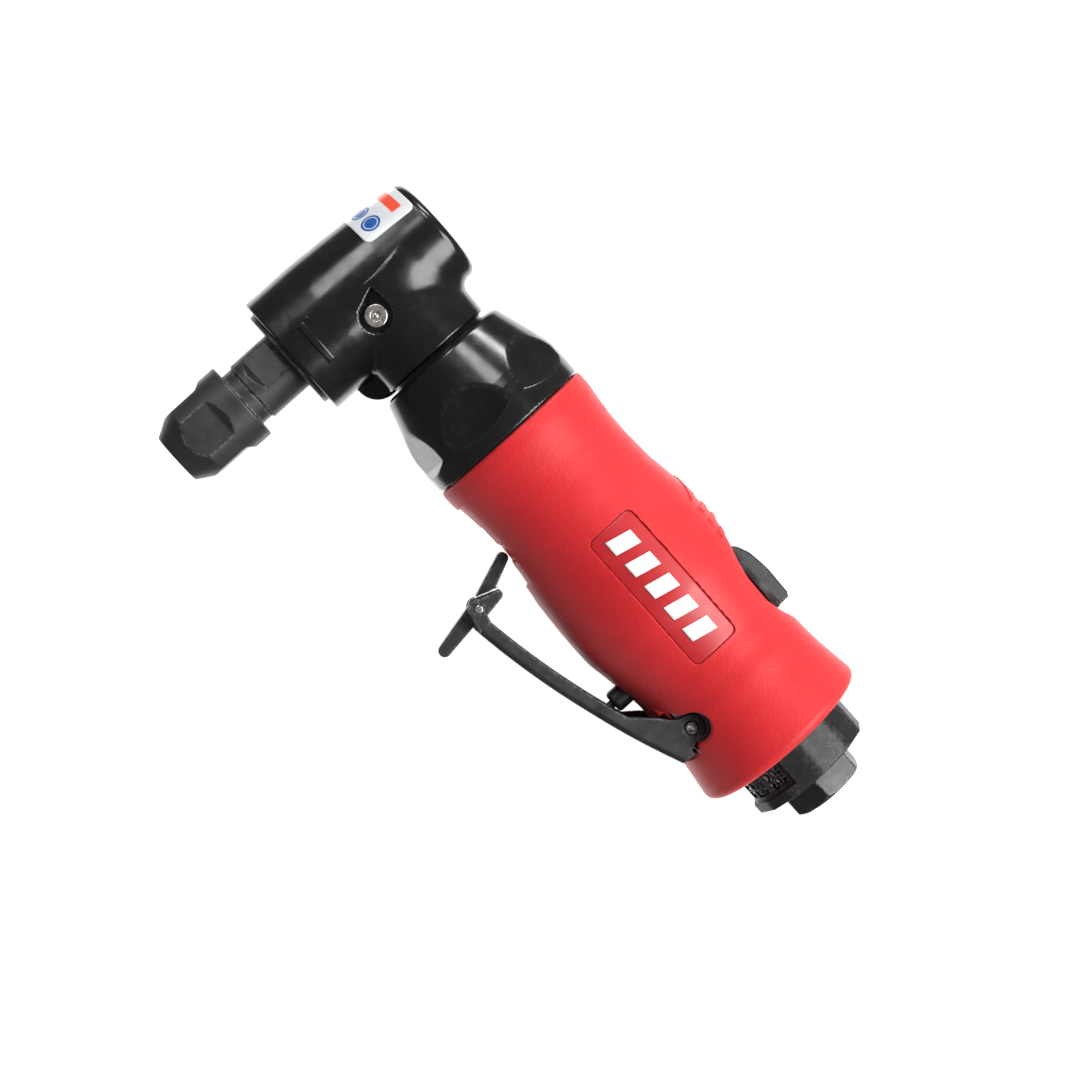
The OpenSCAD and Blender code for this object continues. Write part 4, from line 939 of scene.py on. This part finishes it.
def deflector(x, y, z):
    b = y - AXIS
    rho = np.hypot(b, z)
    shape = meet(prism(b, z, 12, 14.63, 18, 0.3), rho - 15.05, 0.3)
    shape = np.maximum(meet(shape, x - DEFLECTOR_END, 0.6), DEFLECTOR_START - x)
    shape = cut(shape, np.maximum(rho - 13.3, x - DEFLECTOR_END + 1.6), 0.2)
    shape = cut(shape, rho - 8.5, 0.3)
    # wall set back round the windows, behind a rim
    middle = math.radians(WINDOW_FIRST + 1.5 * WINDOW_STEP)
    beside = (rho * math.cos(math.radians(1.5 * WINDOW_STEP + 14)) - (b * math.cos(middle) + z * math.sin(middle)))
    shape = cut(shape, np.maximum.reduce([beside, 13.8 - rho, x - DEFLECTOR_END + 2.6]), 0.4)
    for k, row in product(range(4), (0, 1)):
        a = math.radians(WINDOW_FIRST + WINDOW_STEP * k)
        out, across = b * math.cos(a) + z * math.sin(a), z * math.cos(a) - b * math.sin(a)
        start = DEFLECTOR_START + 1.25 + 2.35 * row
        window = np.maximum(rounded_box(across, x - start - 0.95, 2.2, 0.95, 0.3), 10 - out)
        shape = cut(shape, window, 0.12)
    return shape


def inlet(x, y, z):
    b = y - AXIS
    rho = np.hypot(b, z)
    start = DEFLECTOR_END + 0.3
    head = meet(prism(b, z, 6, 8.35, 19, 0.3), slab(x, start, INLET_END), 0.25)
    head = meet(head, turned(x, rho, [(start, 8.9), (start + 0.7, 9.6), (INLET_END - 1, 9.6), (INLET_END, 8.4)]), 0.15)
    stem = np.minimum.reduce([rod(rho, 8.25, slab(x, 118, 132)), rod(rho, 8.37, slab(x, 131.9, 136)),
                              rod(rho, 8.42, slab(x, 135, start + 0.1))])
    bore = np.minimum(np.maximum(rho - 4.4, 117 - x), np.maximum(rho - 5.6, 139 - x))
    threads = np.maximum(rho - 5.6 - 0.3 * (0.5 + 0.5 * np.cos(2 * math.pi * (x / 1.41 - np.arctan2(b, z) / (2 * math.pi)))),
                         140 - x)
    return cut(np.minimum(head, stem), np.minimum(bore, threads), 0.1)


solid("exhaust_deflector", deflector, *whole("exhaust_deflector"), 0.3, "deflector", 0.6)
solid("inlet_bushing", inlet, *whole("inlet_bushing"), 0.27, "tool_body", 0.5, "inlet_oxide")


def woven_band(r, low, high, pitch, wire):
    """A cylinder of woven wire round the handle axis: rings and straight wires passing over and under."""
    count = int(round(2 * math.pi * r / pitch))
    parts = []
    across = np.arange(low + pitch / 2, high, pitch)
    for k, place in enumerate(across):
        a = np.linspace(0, 2 * math.pi, count * 3 + 1)[:-1]
        rr = r + wire * 0.55 * np.cos(a * count / 2 + math.pi * k)
        ring = np.stack([np.full(len(a), place), AXIS + rr * np.cos(a), rr * np.sin(a)], 1)
        parts.append(tube(np.concatenate([ring, ring[:2]]), wire / 2, 4))
    for k in range(count):
        a = 2 * math.pi * k / count
        x = np.linspace(low, high, int((high - low) / pitch * 3))
        rr = r - wire * 0.55 * np.cos(math.pi * (x - across[0]) / pitch + math.pi * k)
        parts.append(tube(np.stack([x, AXIS + rr * math.cos(a), rr * math.sin(a)], 1), wire / 2, 4))
    return merged(parts)


band = woven_band(12.65, 135.4, 143.2, 1.05, 0.36)
piece("muffler_screen_shape", mesh_from("muffler_screen", *band), "tool_body", "screen_steel", ["muffler_screen"])

# ---------- CAD nodes that keep their shape ----------

for name, node in frame["nodes"].items():
    look = looks[slots[name]]
    if node.material_slots:
        for s in node.material_slots:
            s.material = look
    else:
        node.data.materials.append(look)

# ---------- studio ----------

FLOOR_HALF = 3.0
floor_height = float(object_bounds()[0][2]) - 0.0002
corners = [(x * FLOOR_HALF, y * FLOOR_HALF, floor_height) for x, y in ((-1, -1), (1, -1), (1, 1), (-1, 1))]
floor_mesh = bpy.data.meshes.new("floor")
floor_mesh.from_pydata(corners, [], [(0, 1, 2, 3)])
floor_mesh.update()
floor = bpy.data.objects.new("floor", floor_mesh)
bpy.context.scene.collection.objects.link(floor)
floor_look = material("floor", (0.3, 0.3, 0.31), (0.33, 0.33, 0.33), 60, (0.75, 0.9), [("noise", 1.2, 0.02, EVEN)])
floor_shader = floor_look.node_tree.nodes["Principled BSDF"]
floor_shader.inputs["Emission Color"].default_value = (1, 1, 1, 1)
floor_shader.inputs["Emission Strength"].default_value = 1.02
floor.visible_glossy = False
floor_mesh.materials.append(floor_look)

world = bpy.data.worlds.new("studio")
bpy.context.scene.world = world
world.use_nodes = True
tree = world.node_tree
sky = tree.nodes["Background"]
up = new(tree, "SeparateXYZ", {0: new(tree, "TexCoord").outputs["Generated"]}).outputs[2]
tree.links.new(blended(tree, rescaled(tree, up, -0.74, -0.64, 0, 1), (1.0, 1.0, 1.0), (0.07, 0.07, 0.073)),
               sky.inputs["Color"])
sky.inputs["Strength"].default_value = 2.0

CENTRE = Vector((0.07, 0.05, 0))


def softbox(name, direction, distance, width, tall, radiance):
    """A rectangular lamp that faces the tool; radiance is its own brightness."""
    lamp = bpy.data.lights.new(name, "AREA")
    lamp.shape = "RECTANGLE"
    lamp.size, lamp.size_y = width, tall
    lamp.energy = 4 * width * tall * radiance
    obj = bpy.data.objects.new(name, lamp)
    d = Vector(direction).normalized()
    obj.location = CENTRE + d * distance
    obj.rotation_euler = d.to_track_quat("Z", "Y").to_euler()
    bpy.context.scene.collection.objects.link(obj)


softbox("key_softbox", (0.55, 0.5, 0.67), 1.0, 0.8, 0.6, 8.0)
softbox("low_softbox", (-0.55, 0.79, 0.26), 0.9, 0.34, 0.14, 18.0)
softbox("side_softbox", (-0.8, 0.16, 0.575), 0.9, 0.14, 0.36, 8.0)
softbox("cone_softbox", (-0.55, 0.43, 0.7), 0.9, 0.2, 0.24, 9.0)

lens = bpy.data.cameras.new("camera")
lens.lens, lens.sensor_width = 86.67, 36
lens.clip_start, lens.clip_end = 0.05, 20
camera = bpy.data.objects.new("camera", lens)
camera.matrix_world = Matrix(((0.66771, -0.74172, -0.06334, 0.03010), (0.74112, 0.67034, -0.03720, 0.02583),
                              (0.07005, -0.02210, 0.99730, 0.57348), (0, 0, 0, 1)))
bpy.context.scene.collection.objects.link(camera)
bpy.context.scene.camera = camera
bpy.context.scene.view_settings.view_transform = "Standard"
